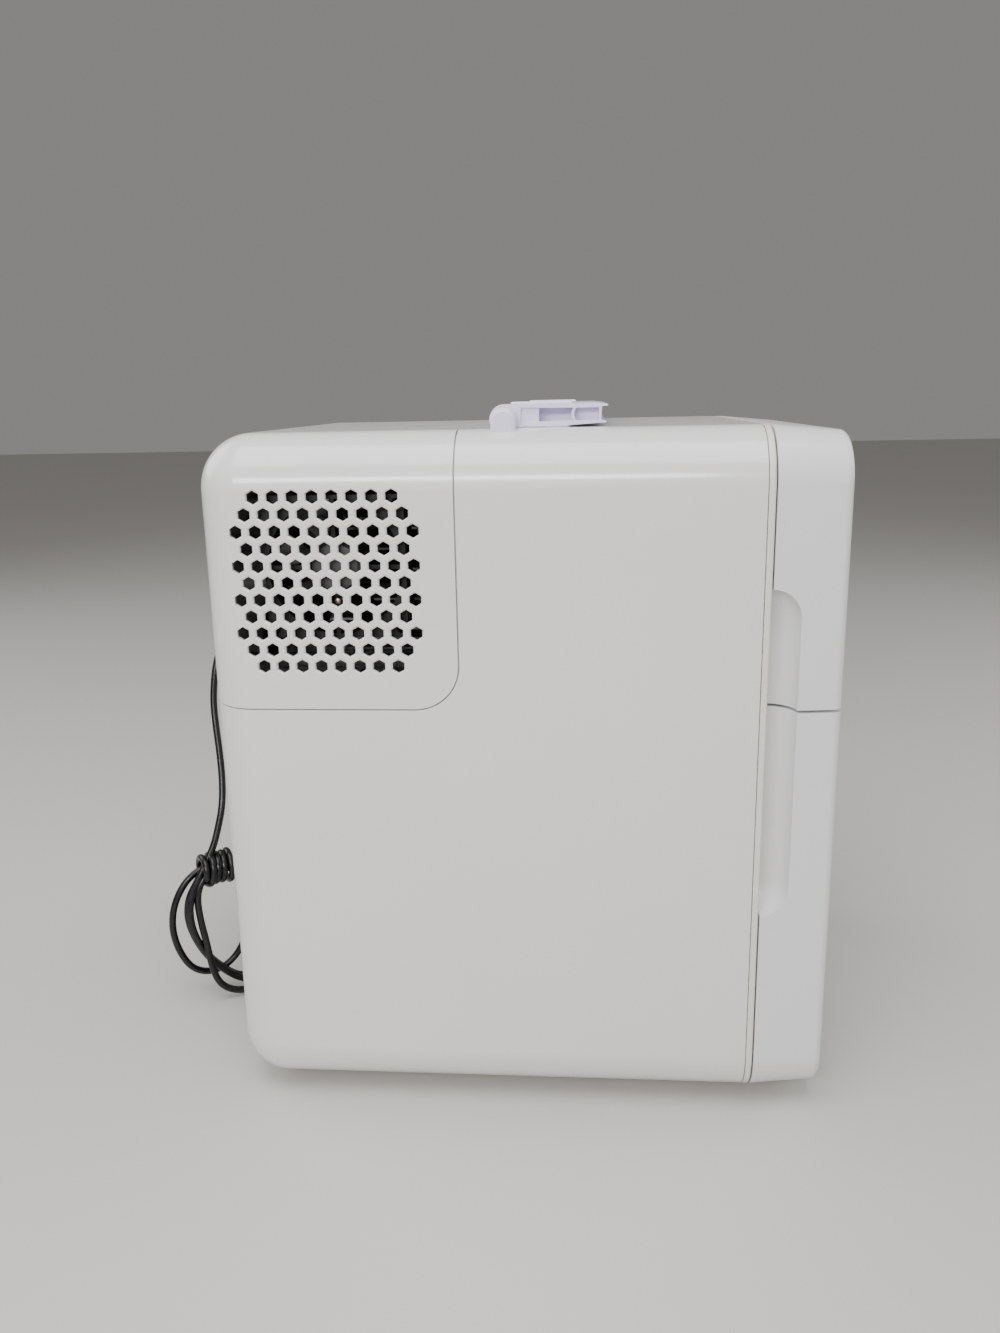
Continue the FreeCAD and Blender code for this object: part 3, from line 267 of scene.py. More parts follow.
@dataclass
class Tree:
    """A material's nodes, with short ways to add and join them."""

    material: bpy.types.Material
    column: int = 0

    @classmethod
    def begin(cls, name: str) -> "Tree":
        """Empty material with a surface shader and an output."""
        made = bpy.data.materials.new(name)
        made.use_nodes = True
        return cls(made)

    @property
    def shader(self) -> bpy.types.Node:
        """The surface shader."""
        return self.material.node_tree.nodes["Principled BSDF"]

    def add(self, kind: str, **settings: object) -> bpy.types.Node:
        """Add a node and set its properties.

        Args:
            kind: Node type without its "ShaderNode" front part.
            **settings: Properties of the node.

        Returns:
            The node.
        """
        node = self.material.node_tree.nodes.new(f"ShaderNode{kind}")
        self.column += 1
        node.location = (-220 * self.column, -60 * (self.column % 5))
        for key, setting in settings.items():
            setattr(node, key, setting)
        return node

    def join(self, source: bpy.types.NodeSocket, target: bpy.types.NodeSocket) -> None:
        """Link two sockets."""
        self.material.node_tree.links.new(source, target)

    def places(self, stretch: tuple[float, float, float] = (1.0, 1.0, 1.0)) -> bpy.types.NodeSocket:
        """Object coordinates in metres, stretched along each axis."""
        spot = self.add("TexCoord")
        mapping = self.add("Mapping")
        mapping.inputs["Scale"].default_value = stretch
        self.join(spot.outputs["Object"], mapping.inputs["Vector"])
        return mapping.outputs["Vector"]

    def noise(self, scale: float, detail: float = 3.0, rough: float = 0.5,
              stretch: tuple[float, float, float] = (1.0, 1.0, 1.0)) -> bpy.types.NodeSocket:
        """Cloudy pattern.

        Args:
            scale: Features a metre.
            detail: Layers of finer clouds.
            rough: Strength of the finer layers.
            stretch: Scale of each axis.

        Returns:
            The pattern's value, from about 0 to 1.
        """
        node = self.add("TexNoise")
        node.inputs["Scale"].default_value = scale
        node.inputs["Detail"].default_value = detail
        node.inputs["Roughness"].default_value = rough
        self.join(self.places(stretch), node.inputs["Vector"])
        return node.outputs["Fac"]

    def spread(self, source: bpy.types.NodeSocket, low: float, high: float) -> bpy.types.NodeSocket:
        """Carry a pattern's middle range to another range."""
        node = self.add("MapRange", clamp=True)
        ends = {"From Min": 0.3, "From Max": 0.7, "To Min": low, "To Max": high}
        for key, number in ends.items():
            node.inputs[key].default_value = number
        self.join(source, node.inputs["Value"])
        return node.outputs["Result"]

    def blend(self, factor: bpy.types.NodeSocket, first: tuple[float, ...],
              second: tuple[float, ...]) -> bpy.types.NodeSocket:
        """Mix two colours by a pattern."""
        node = self.add("ValToRGB")
        node.color_ramp.elements[0].position = 0.3
        node.color_ramp.elements[1].position = 0.7
        node.color_ramp.elements[0].color = (*first, 1.0)
        node.color_ramp.elements[1].color = (*second, 1.0)
        self.join(factor, node.inputs["Fac"])
        return node.outputs["Color"]

    def raise_by(self, pattern: bpy.types.NodeSocket, height: float, strength: float = 1.0,
                 under: bpy.types.NodeSocket | None = None) -> bpy.types.NodeSocket:
        """Relief from a pattern.

        Args:
            pattern: Value that gives the height.
            height: Height of the full range in metres.
            strength: How much of the relief shows.
            under: Normal of a coarser relief that this one lies on.

        Returns:
            The changed normal.
        """
        node = self.add("Bump")
        node.inputs["Distance"].default_value = height
        node.inputs["Strength"].default_value = strength
        self.join(pattern, node.inputs["Height"])
        if under is not None:
            self.join(under, node.inputs["Normal"])
        return node.outputs["Normal"]


def shade(colour: tuple[float, float, float], by: float) -> tuple[float, float, float]:
    """The colour made lighter or darker by a share."""
    return tuple(min(1.0, part * (1.0 + by)) for part in colour)


@dataclass(frozen=True)
class GlossMoulding:
    """Polished moulded plastic: slow tone changes, soft waves in the skin and a fine orange peel."""

    name: str
    colour: tuple[float, float, float]
    roughness: tuple[float, float] = (0.13, 0.2)
    variation: float = 0.03
    waves: float = 0.00022
    peel: float = 0.000012
    coat: float = 0.35

    def material(self) -> bpy.types.Material:
        """Build the material.

        Returns:
            The finished material.
        """
        tree = Tree.begin(self.name)
        tone = tree.blend(tree.noise(5.0, 4.0, 0.55), shade(self.colour, -self.variation), self.colour)
        tree.join(tone, tree.shader.inputs["Base Color"])
        handled = tree.spread(tree.noise(38.0, 5.0, 0.65), *self.roughness)
        tree.join(handled, tree.shader.inputs["Roughness"])
        slow = tree.raise_by(tree.noise(9.0, 1.0, 0.3), self.waves)
        peel = tree.raise_by(tree.noise(900.0, 2.0), self.peel, under=slow)
        tree.join(peel, tree.shader.inputs["Normal"])
        tree.shader.inputs["Coat Weight"].default_value = self.coat
        tree.shader.inputs["Coat Roughness"].default_value = 0.08
        tree.shader.inputs["Specular IOR Level"].default_value = 0.5
        return tree.material


@dataclass(frozen=True)
class GrainedMoulding:
    """Satin or matt moulded plastic with a spark-eroded grain and rubbed, slightly shinier patches."""

    name: str
    colour: tuple[float, float, float]
    roughness: tuple[float, float] = (0.38, 0.5)
    grain: float = 1600.0
    depth: float = 0.00003
    variation: float = 0.06

    def material(self) -> bpy.types.Material:
        """Build the material.

        Returns:
            The finished material.
        """
        tree = Tree.begin(self.name)
        tone = tree.blend(tree.noise(30.0, 5.0, 0.6), shade(self.colour, -self.variation), self.colour)
        tree.join(tone, tree.shader.inputs["Base Color"])
        tree.join(tree.spread(tree.noise(55.0, 4.0), *self.roughness), tree.shader.inputs["Roughness"])
        cells = tree.add("TexVoronoi")
        cells.inputs["Scale"].default_value = self.grain
        tree.join(tree.places(), cells.inputs["Vector"])
        relief = tree.raise_by(cells.outputs["Distance"], self.depth, 0.6)
        tree.join(relief, tree.shader.inputs["Normal"])
        return tree.material


@dataclass(frozen=True)
class ClearMoulding:
    """Frosted clear plastic with flow marks."""

    name: str
    colour: tuple[float, float, float]
    roughness: tuple[float, float] = (0.12, 0.24)

    def material(self) -> bpy.types.Material:
        """Build the material.

        Returns:
            The finished material.
        """
        tree = Tree.begin(self.name)
        tone = tree.blend(tree.noise(16.0, 3.0), shade(self.colour, -0.05), self.colour)
        tree.join(tone, tree.shader.inputs["Base Color"])
        tree.join(tree.spread(tree.noise(70.0, 4.0), *self.roughness), tree.shader.inputs["Roughness"])
        tree.join(tree.raise_by(tree.noise(60.0, 2.0, 0.4), 0.00008), tree.shader.inputs["Normal"])
        tree.shader.inputs["Transmission Weight"].default_value = 0.7
        tree.shader.inputs["IOR"].default_value = 1.49
        return tree.material


@dataclass(frozen=True)
class BeadFoam:
    """Moulded foam whose beads show as small domed cells."""

    name: str
    colour: tuple[float, float, float]
    bead: float = 260.0

    def material(self) -> bpy.types.Material:
        """Build the material.

        Returns:
            The finished material.
        """
        tree = Tree.begin(self.name)
        cells = tree.add("TexVoronoi")
        cells.inputs["Scale"].default_value = self.bead
        tree.join(tree.places(), cells.inputs["Vector"])
        tone = tree.blend(cells.outputs["Distance"], self.colour, shade(self.colour, -0.14))
        tree.join(tone, tree.shader.inputs["Base Color"])
        tree.join(tree.spread(tree.noise(90.0), 0.75, 0.92), tree.shader.inputs["Roughness"])
        tree.join(tree.raise_by(cells.outputs["Distance"], -0.0005, 0.7), tree.shader.inputs["Normal"])
        return tree.material


@dataclass(frozen=True)
class DrawnMetal:
    """Metal with fine lines along one direction and faint stains."""

    name: str
    colour: tuple[float, float, float]
    roughness: tuple[float, float] = (0.25, 0.42)
    stretch: tuple[float, float, float] = (1.0, 14.0, 14.0)

    def material(self) -> bpy.types.Material:
        """Build the material.

        Returns:
            The finished material.
        """
        tree = Tree.begin(self.name)
        tone = tree.blend(tree.noise(24.0, 5.0, 0.6), shade(self.colour, -0.12), self.colour)
        tree.join(tone, tree.shader.inputs["Base Color"])
        lines = tree.noise(160.0, 3.0, 0.6, self.stretch)
        tree.join(tree.spread(lines, *self.roughness), tree.shader.inputs["Roughness"])
        tree.join(tree.raise_by(lines, 0.00003, 0.5), tree.shader.inputs["Normal"])
        tree.shader.inputs["Metallic"].default_value = 1.0
        return tree.material


@dataclass(frozen=True)
class SoftRubber:
    """Rubber or soft plastic with a powdery bloom and a pebbled skin."""

    name: str
    colour: tuple[float, float, float]
    roughness: tuple[float, float] = (0.5, 0.72)
    pebble: float = 0.00005
    bloom: float = 0.25

    def material(self) -> bpy.types.Material:
        """Build the material.

        Returns:
            The finished material.
        """
        tree = Tree.begin(self.name)
        tone = tree.blend(tree.noise(45.0, 5.0, 0.65), self.colour, shade(self.colour, self.bloom))
        tree.join(tone, tree.shader.inputs["Base Color"])
        tree.join(tree.spread(tree.noise(120.0, 3.0), *self.roughness), tree.shader.inputs["Roughness"])
        tree.join(tree.raise_by(tree.noise(1100.0, 3.0), self.pebble, 0.5), tree.shader.inputs["Normal"])
        return tree.material


@dataclass(frozen=True)
class BoardLaminate:
    """Circuit board: a green mask over faint, blocky copper fields."""

    name: str
    colour: tuple[float, float, float] = (0.02, 0.16, 0.07)

    def material(self) -> bpy.types.Material:
        """Build the material.

        Returns:
            The finished material.
        """
        tree = Tree.begin(self.name)
        fields = tree.add("TexVoronoi", distance="CHEBYCHEV")
        fields.inputs["Scale"].default_value = 180.0
        tree.join(tree.places(), fields.inputs["Vector"])
        tone = tree.blend(fields.outputs["Distance"], shade(self.colour, 0.5), self.colour)
        tree.join(tone, tree.shader.inputs["Base Color"])
        tree.join(tree.spread(tree.noise(80.0), 0.25, 0.42), tree.shader.inputs["Roughness"])
        tree.join(tree.raise_by(fields.outputs["Distance"], 0.00006, 0.6), tree.shader.inputs["Normal"])
        return tree.material


@dataclass(frozen=True)
class PaleFloor:
    """Plain matt sweep that the fridge stands on."""

    name: str = "pale_floor"
    colour: tuple[float, float, float] = (0.62, 0.6, 0.57)

    def material(self) -> bpy.types.Material:
        """Build the material.

        Returns:
            The finished material.
        """
        tree = Tree.begin(self.name)
        tone = tree.blend(tree.noise(1.5, 2.0), shade(self.colour, -0.02), self.colour)
        tree.join(tone, tree.shader.inputs["Base Color"])
        tree.shader.inputs["Roughness"].default_value = 0.65
        return tree.material


@dataclass(frozen=True)
class Finishes:
    """All finishes of the fridge, built once."""

    casing: bpy.types.Material = field(default_factory=lambda: GlossMoulding(
        "casing_white", (0.80, 0.795, 0.78)).material())
    # The door's colour is the casing's white plastic with a painted cool, slightly lighter cast. That cast is
    # the tint the door's drafted sides take on from the light.
    door: bpy.types.Material = field(default_factory=lambda: GlossMoulding(
        "door_white", (0.80, 0.805, 0.81), roughness=(0.2, 0.28), coat=0.2).material())
    cream: bpy.types.Material = field(default_factory=lambda: GlossMoulding(
        "frame_cream", (0.81, 0.785, 0.73), roughness=(0.22, 0.32), coat=0.1).material())
    liner: bpy.types.Material = field(default_factory=lambda: GlossMoulding(
        "liner_grey", (0.74, 0.755, 0.77), roughness=(0.24, 0.36), coat=0.1).material())
    clear: bpy.types.Material = field(default_factory=lambda: ClearMoulding(
        "bin_clear", (0.9, 0.93, 0.96)).material())
    foam: bpy.types.Material = field(default_factory=lambda: BeadFoam(
        "bead_foam", (0.88, 0.88, 0.84)).material())
    seal: bpy.types.Material = field(default_factory=lambda: SoftRubber(
        "seal_grey", (0.46, 0.47, 0.48), bloom=0.12).material())
    foot: bpy.types.Material = field(default_factory=lambda: SoftRubber(
        "foot_rubber", (0.03, 0.03, 0.03)).material())
    aluminium: bpy.types.Material = field(default_factory=lambda: DrawnMetal(
        "drawn_aluminium", (0.72, 0.73, 0.75)).material())
    steel: bpy.types.Material = field(default_factory=lambda: DrawnMetal(
        "zinc_steel", (0.5, 0.51, 0.53), stretch=(9.0, 9.0, 1.0)).material())
    ceramic: bpy.types.Material = field(default_factory=lambda: GrainedMoulding(
        "ceramic_plate", (0.85, 0.85, 0.82), roughness=(0.55, 0.7)).material())
    lilac: bpy.types.Material = field(default_factory=lambda: GlossMoulding(
        "handle_lilac", (0.83, 0.785, 0.97), roughness=(0.2, 0.3), coat=0.2).material())
    black: bpy.types.Material = field(default_factory=lambda: GrainedMoulding(
        "moulded_black", (0.022, 0.022, 0.024), roughness=(0.34, 0.5), variation=0.2).material())
    fan: bpy.types.Material = field(default_factory=lambda: GrainedMoulding(
        "fan_black", (0.009, 0.009, 0.01), roughness=(0.5, 0.66), variation=0.2).material())
    label: bpy.types.Material = field(default_factory=lambda: GrainedMoulding(
        "motor_label", (0.09, 0.09, 0.095), roughness=(0.35, 0.5), grain=420.0, variation=0.5).material())
    supply: bpy.types.Material = field(default_factory=lambda: GrainedMoulding(
        "supply_grey", (0.07, 0.07, 0.08), roughness=(0.45, 0.6)).material())
    board: bpy.types.Material = field(default_factory=lambda: BoardLaminate("board_green").material())
    cord: bpy.types.Material = field(default_factory=lambda: SoftRubber(
        "cord_sheath", (0.0025, 0.0025, 0.003), roughness=(0.24, 0.34), pebble=0.000004,
        bloom=0.0).material())
    copper: bpy.types.Material = field(default_factory=lambda: DrawnMetal(
        "copper", (0.72, 0.50, 0.38), roughness=(0.2, 0.32)).material())
    floor: bpy.types.Material = field(default_factory=lambda: PaleFloor().material())


def dress(material: bpy.types.Material, *pieces: bpy.types.Object) -> None:
    """Give every piece one material in all its slots."""
    for piece in pieces:
        piece.data.materials.clear()
        piece.data.materials.append(material)


def dress_nodes(material: bpy.types.Material, *names: str) -> None:
    """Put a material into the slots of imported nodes, whose meshes stay as they are."""
    for name in names:
        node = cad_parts[name]
        if not node.material_slots:
            node.data.materials.append(material)
        for slot in node.material_slots:
            slot.material = material


def report(piece: bpy.types.Object, body: str) -> None:
    """Let a piece ride on its body and log it."""
    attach(piece, body)
    LOG.info("%s rides on %s, %d faces", piece.name, body, len(getattr(piece.data, "polygons", [])))


# ---------------------------------------------------------------- studio

@dataclass
class Studio:
    """Camera, soft lights and the sweep."""

    eye: tuple[float, float, float] = (-0.7226, -0.0386, 0.4267)
    right: tuple[float, float, float] = (0.07744, -0.99681, -0.01937)
    down: tuple[float, float, float] = (-0.24466, -0.00017, -0.96961)
    ahead: tuple[float, float, float] = (0.96651, 0.07982, -0.24389)
    lens: float = 28.90

    def build(self, finishes: Finishes) -> None:
        """Make the camera, the lights and the floor.

        Args:
            finishes: The finishes, for the floor.
        """
        self._camera()
        self._light("ceiling_light", (-0.5, 0.1, 1.6), (0.0, 0.0, 0.35), (1.4, 1.1), 22.0)
        self._light("camera_side_light", (-1.9, 0.5, 1.0), (0.0, 0.0, 0.2), (1.4, 1.2), 6.0)
        self._light("band_light", (-1.5, 0.32, 0.93), (-0.14, 0.05, 0.385), (1.25, 0.2), 14.0)
        self._light("front_light", (0.6, -1.8, 1.0), (0.0, 0.0, 0.2), (1.2, 1.2), 12.0)
        self._light("back_light", (0.6, 1.7, 1.3), (0.0, 0.0, 0.2), (1.2, 1.2), 12.0)
        world = bpy.data.worlds.new("studio")
        world.use_nodes = True
        world.node_tree.nodes["Background"].inputs["Color"].default_value = (1.0, 0.985, 0.96, 1.0)
        world.node_tree.nodes["Background"].inputs["Strength"].default_value = 0.24
        bpy.context.scene.world = world
        self._floor(finishes)

    def _camera(self) -> None:
        """Camera whose axes are given as three directions."""
        data = bpy.data.cameras.new("camera")
        data.lens = self.lens
        data.sensor_width = 36.0
        camera = bpy.data.objects.new("camera", data)
        bpy.context.scene.collection.objects.link(camera)
        axes = np.array([self.right, [-v for v in self.down], [-v for v in self.ahead]]).T
        place = Matrix(axes.tolist()).to_4x4()
        place.translation = Vector(self.eye)
        camera.matrix_world = place
        data.clip_start, data.clip_end = 0.01, 50.0
        bpy.context.scene.camera = camera

    def _light(self, name: str, spot: tuple[float, float, float], target: tuple[float, float, float],
               size: tuple[float, float], power: float) -> None:
        """Rectangular soft light that looks at a point."""
        data = bpy.data.lights.new(name, "AREA")
        data.shape = "RECTANGLE"
        data.size, data.size_y = size
        data.energy = power
        made = bpy.data.objects.new(name, data)
        made.location = spot
        made.rotation_euler = (Vector(target) - Vector(spot)).to_track_quat("-Z", "Y").to_euler()
        bpy.context.scene.collection.objects.link(made)

    def _floor(self, finishes: Finishes) -> None:
        """Flat square floor."""
        reach = 9000.0
        corners = reach * np.array([(-1.0, -1.0, 0.0), (1.0, -1.0, 0.0), (1.0, 1.0, 0.0), (-1.0, 1.0, 0.0)])
        floor = make_object("floor", corners, [np.arange(4)])
        if floor.data.polygons[0].normal.z < 0:
            floor.data.flip_normals()
        dress(finishes.floor, floor)


# ---------------------------------------------------------------- mains lead

@dataclass(frozen=True)
class Turn:
    """One turn of the coil: the loop that it follows, its size, and its places across the coil's plane."""

    loop: np.ndarray
    size: float
    top: float
    outer: float
    bottom: float


@dataclass
class MainsLead:
    """Black mains lead: relief, hanging run, loose coil of five and a half turns, binding and plug."""

    diameter: float = 5.0
    exit: tuple[float, float, float] = (40.0, 198.0, 266.0)
    length: float = 1.6
    run_down: list[tuple[float, float, float]] = field(default_factory=lambda: [
        (40, 198, 266), (40, 207, 266), (39.7, 217, 264.8), (38.2, 225.8, 260.3), (35.6, 231.6, 252.5),
        (32, 234.6, 242.5), (26.5, 236, 230), (18, 235.4, 213), (10.5, 232.2, 196), (2.5, 228.2, 179),
        (-6, 224.8, 161), (-14, 223.6, 144), (-20, 226, 129), (-25.5, 229, 115.5)])
    tail: list[tuple[float, float, float]] = field(default_factory=lambda: [
        (-10.9, 215.4, 6.2), (0.2, 210.7, 5.3), (12.2, 213.1, 6.4), (20.5, 220, 8.5), (32, 223.6, 9.3),
        (44, 223, 9.3)])
    coil_centre: tuple[float, float, float] = (-20.0, 223.5, 53.7)
    coil_turn: float = 38.0
    scaling_centre: tuple[float, float] = (-4.0, 20.0)
    middle_loop: list[tuple[float, float]] = field(default_factory=lambda: [
        (-4.5, 101.8), (8.5, 102.5), (21, 95.5), (29.2, 83), (31, 67), (26.9, 50), (19, 33.5), (9, 20.5),
        (-1, 10.5), (-12, 4.5), (-24.5, 4.3), (-35, 11), (-40, 22), (-40, 36), (-38, 50), (-34, 64),
        (-27.5, 76.5), (-21.5, 86.5), (-15, 95.3)])
    wide_loop: list[tuple[float, float]] = field(default_factory=lambda: [
        (-3, 100.5), (12, 101), (24.5, 96), (33.5, 85.5), (39.2, 72), (40.4, 56), (37, 40), (30, 25),
        (19.5, 17.2), (7, 16), (-5, 23.5), (-13, 37), (-20, 50), (-25, 63), (-26.5, 76), (-23.5, 87),
        (-16.2, 96)])
    narrow_loop: list[tuple[float, float]] = field(default_factory=lambda: [
        (-5.4, 102), (7.4, 102), (18.2, 95.1), (23.6, 83.5), (23, 66), (20.5, 47), (19, 30), (15.5, 14.5),
        (5.5, 5.5), (-7, 3.4), (-20, 4.2), (-31.5, 9.5), (-38.5, 20), (-40, 34), (-38, 49), (-34, 63),
        (-27.5, 76.5), (-21.5, 86.5), (-15.5, 95.5)])

    def _plane(self) -> tuple[np.ndarray, np.ndarray]:
        """Directions along the coil's plane and across it."""
        angle = math.radians(self.coil_turn)
        along = np.array([-math.sin(angle), math.cos(angle), 0.0])
        across = np.array([math.cos(angle), math.sin(angle), 0.0])
        return along, across

    def _turns(self) -> list[Turn]:
        """The coil's turns, in the order that the lead runs through them."""
        middle = np.array(self.middle_loop, float)
        wide = np.array(self.wide_loop, float)
        narrow = np.array(self.narrow_loop, float)
        return [Turn(middle, 1.0, -4.8, -1.0, -3.0), Turn(wide, 1.0, 4.8, 5.5, 6.5),
                Turn(narrow, 1.0, 0.0, -5.0, -13.0), Turn(middle, 0.96, -2.6, 3.6, 2.5),
                Turn(middle, 0.98, 2.6, -5.0, -1.5), Turn(middle[:9], 0.95, 0.0, 1.5, 1.0)]

    def coil_points(self) -> np.ndarray:
        """Control points of the coil.

        Every turn follows one of three loops, from its top over the outer side, the bottom and the inner
        side. A loop is scaled about a point near the floor, and its size passes evenly into the next one's.
        The place across the plane passes from its value at the top to those at the outer side, at the
        bottom and at the next top, so the turns lie beside each other and cross as they hang.

        Returns:
            Points in millimetres, in the order that the lead runs through them.
        """
        along, across = self._plane()
        origin = np.array(self.scaling_centre)
        turns = self._turns()
        rows = []
        for number, turn in enumerate(turns):
            count = len(turn.loop)
            after = turns[number + 1] if number + 1 < len(turns) else None
            next_size, next_top = (after.size, after.top) if after else (turn.size, turn.bottom)
            steps = np.arange(count)
            scale = np.interp(steps, [0, count], [turn.size, next_size])[:, None]
            depth = np.interp(steps, [0, 4, 9, count], [turn.top, turn.outer, turn.bottom, next_top])
            rows.append(np.column_stack([origin + scale * (turn.loop - origin), depth]))
        # the run down already stands in for the first two points
        flat = np.vstack(rows)[2:]
        points = np.array([*self.coil_centre[:2], 0.0]) + flat[:, :1] * along + flat[:, 2:] * across
        points[:, 2] = flat[:, 1]
        return points

    def build(self, finishes: Finishes) -> None:
        """Make the lead and everything on it.

        Args:
            finishes: The finishes.
        """
        route = np.vstack([self.run_down, self.coil_points(), self.tail])
        curve = bpy.data.curves.new("mains_lead", "CURVE")
        curve.dimensions = "3D"
        curve.resolution_u = 8
        curve.bevel_depth = self.diameter / 2 * MM
        curve.bevel_resolution = 4
        curve.use_fill_caps = True
        line = curve.splines.new("NURBS")
        line.points.add(len(route) - 1)
        line.points.foreach_set("co", np.column_stack([route * MM, np.ones(len(route))]).ravel())
        line.order_u = 3
        line.use_endpoint_u = True
        lead = bpy.data.objects.new("mains_lead", curve)
        bpy.context.scene.collection.objects.link(lead)
        dress(finishes.cord, lead)
        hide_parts("power_cord", "power_cord_coil", "power_cord_tail")
        report(lead, "cabinet")
        relief, binding = self._relief(finishes), self._binding(finishes)
        dress_nodes(finishes.cord, "power_plug")

    def _relief(self, finishes: Finishes) -> bpy.types.Object:
        """Ribbed relief: a cone whose radius drops in a groove after every rib.

        The radius at depth y is the cone's radius less a groove of 0.8 where the sine of the ribs is low.
        """
        start, end, rib = 178.2, self.exit[1], 3.6
        y = np.linspace(start, end, 100)
        cone = np.interp(y, [start, end], [5.0, 3.3])
        grooves = np.clip(-3.0 * np.sin((y - start) / rib * 2 * math.pi), 0.0, 1.0)
        ends = np.clip(np.minimum(y - 181.0, 196.6 - y), 0.0, 1.0)
        flange = np.array([(175.5, 5.0), (177.5, 5.0), (177.5, 6.6), (178.0, 6.6), (start, 6.3)])
        profile = np.vstack([flange, np.column_stack([y, cone - 0.8 * grooves * ends])])
        relief = turned("lead_relief", profile, (self.exit[0], 0.0, self.exit[2]), Axis.Y)
        dress(finishes.cord, relief)
        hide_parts("cord_relief")
        report(relief, "cabinet")
        return relief

    def _binding(self, finishes: Finishes) -> bpy.types.Object:
        """Binding of round cord: wraps about the coil's top, each an oval round the bundle.

        At angle t the centreline stands about 10.2 cos t across the plane and 9.8 sin t above the bundle,
        and it steps along the plane by one cord thickness for each whole turn. The wobble makes wraps differ.
        """
        along, across = self._plane()
        turns, thick, half_wide, half_high = 4.6, 4.8, 10.2, 9.8
        level, shift = 100.2, 6.5
        t = np.linspace(0.0, turns * 2 * math.pi, int(turns * 28))
        wobble = 0.5 * np.sin(t * 0.37) + 0.35 * np.sin(t * 0.61)
        middle = np.array([self.coil_centre[0], self.coil_centre[1], level]) + shift * along
        slide = (t / (2 * math.pi) - turns / 2) * thick + 0.8 * np.sin(t * 0.83)
        line = middle + np.outer((half_wide + wobble) * np.cos(t), across) + np.outer(slide, along)
        line[:, 2] += (half_high + wobble) * np.sin(t)
        heading = np.gradient(line, axis=0)
        heading /= np.linalg.norm(heading, axis=1, keepdims=True)
        side = np.cross(heading, along)
        side /= np.linalg.norm(side, axis=1, keepdims=True)
        over = np.cross(heading, side)
        angle = np.linspace(0.0, 2 * math.pi, 14, endpoint=False)
        reach = np.full(len(t), thick / 2)
        reach[[0, -1]] = 0.9
        ring = side[:, None, :] * np.cos(angle)[:, None] + over[:, None, :] * np.sin(angle)[:, None]
        binding = tube_of_loops("lead_binding", line[:, None, :] + ring * reach[:, None, None])
        dress(finishes.cord, binding)
        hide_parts("cord_tie")
        report(binding, "cabinet")
        return binding


# ---------------------------------------------------------------- cabinet

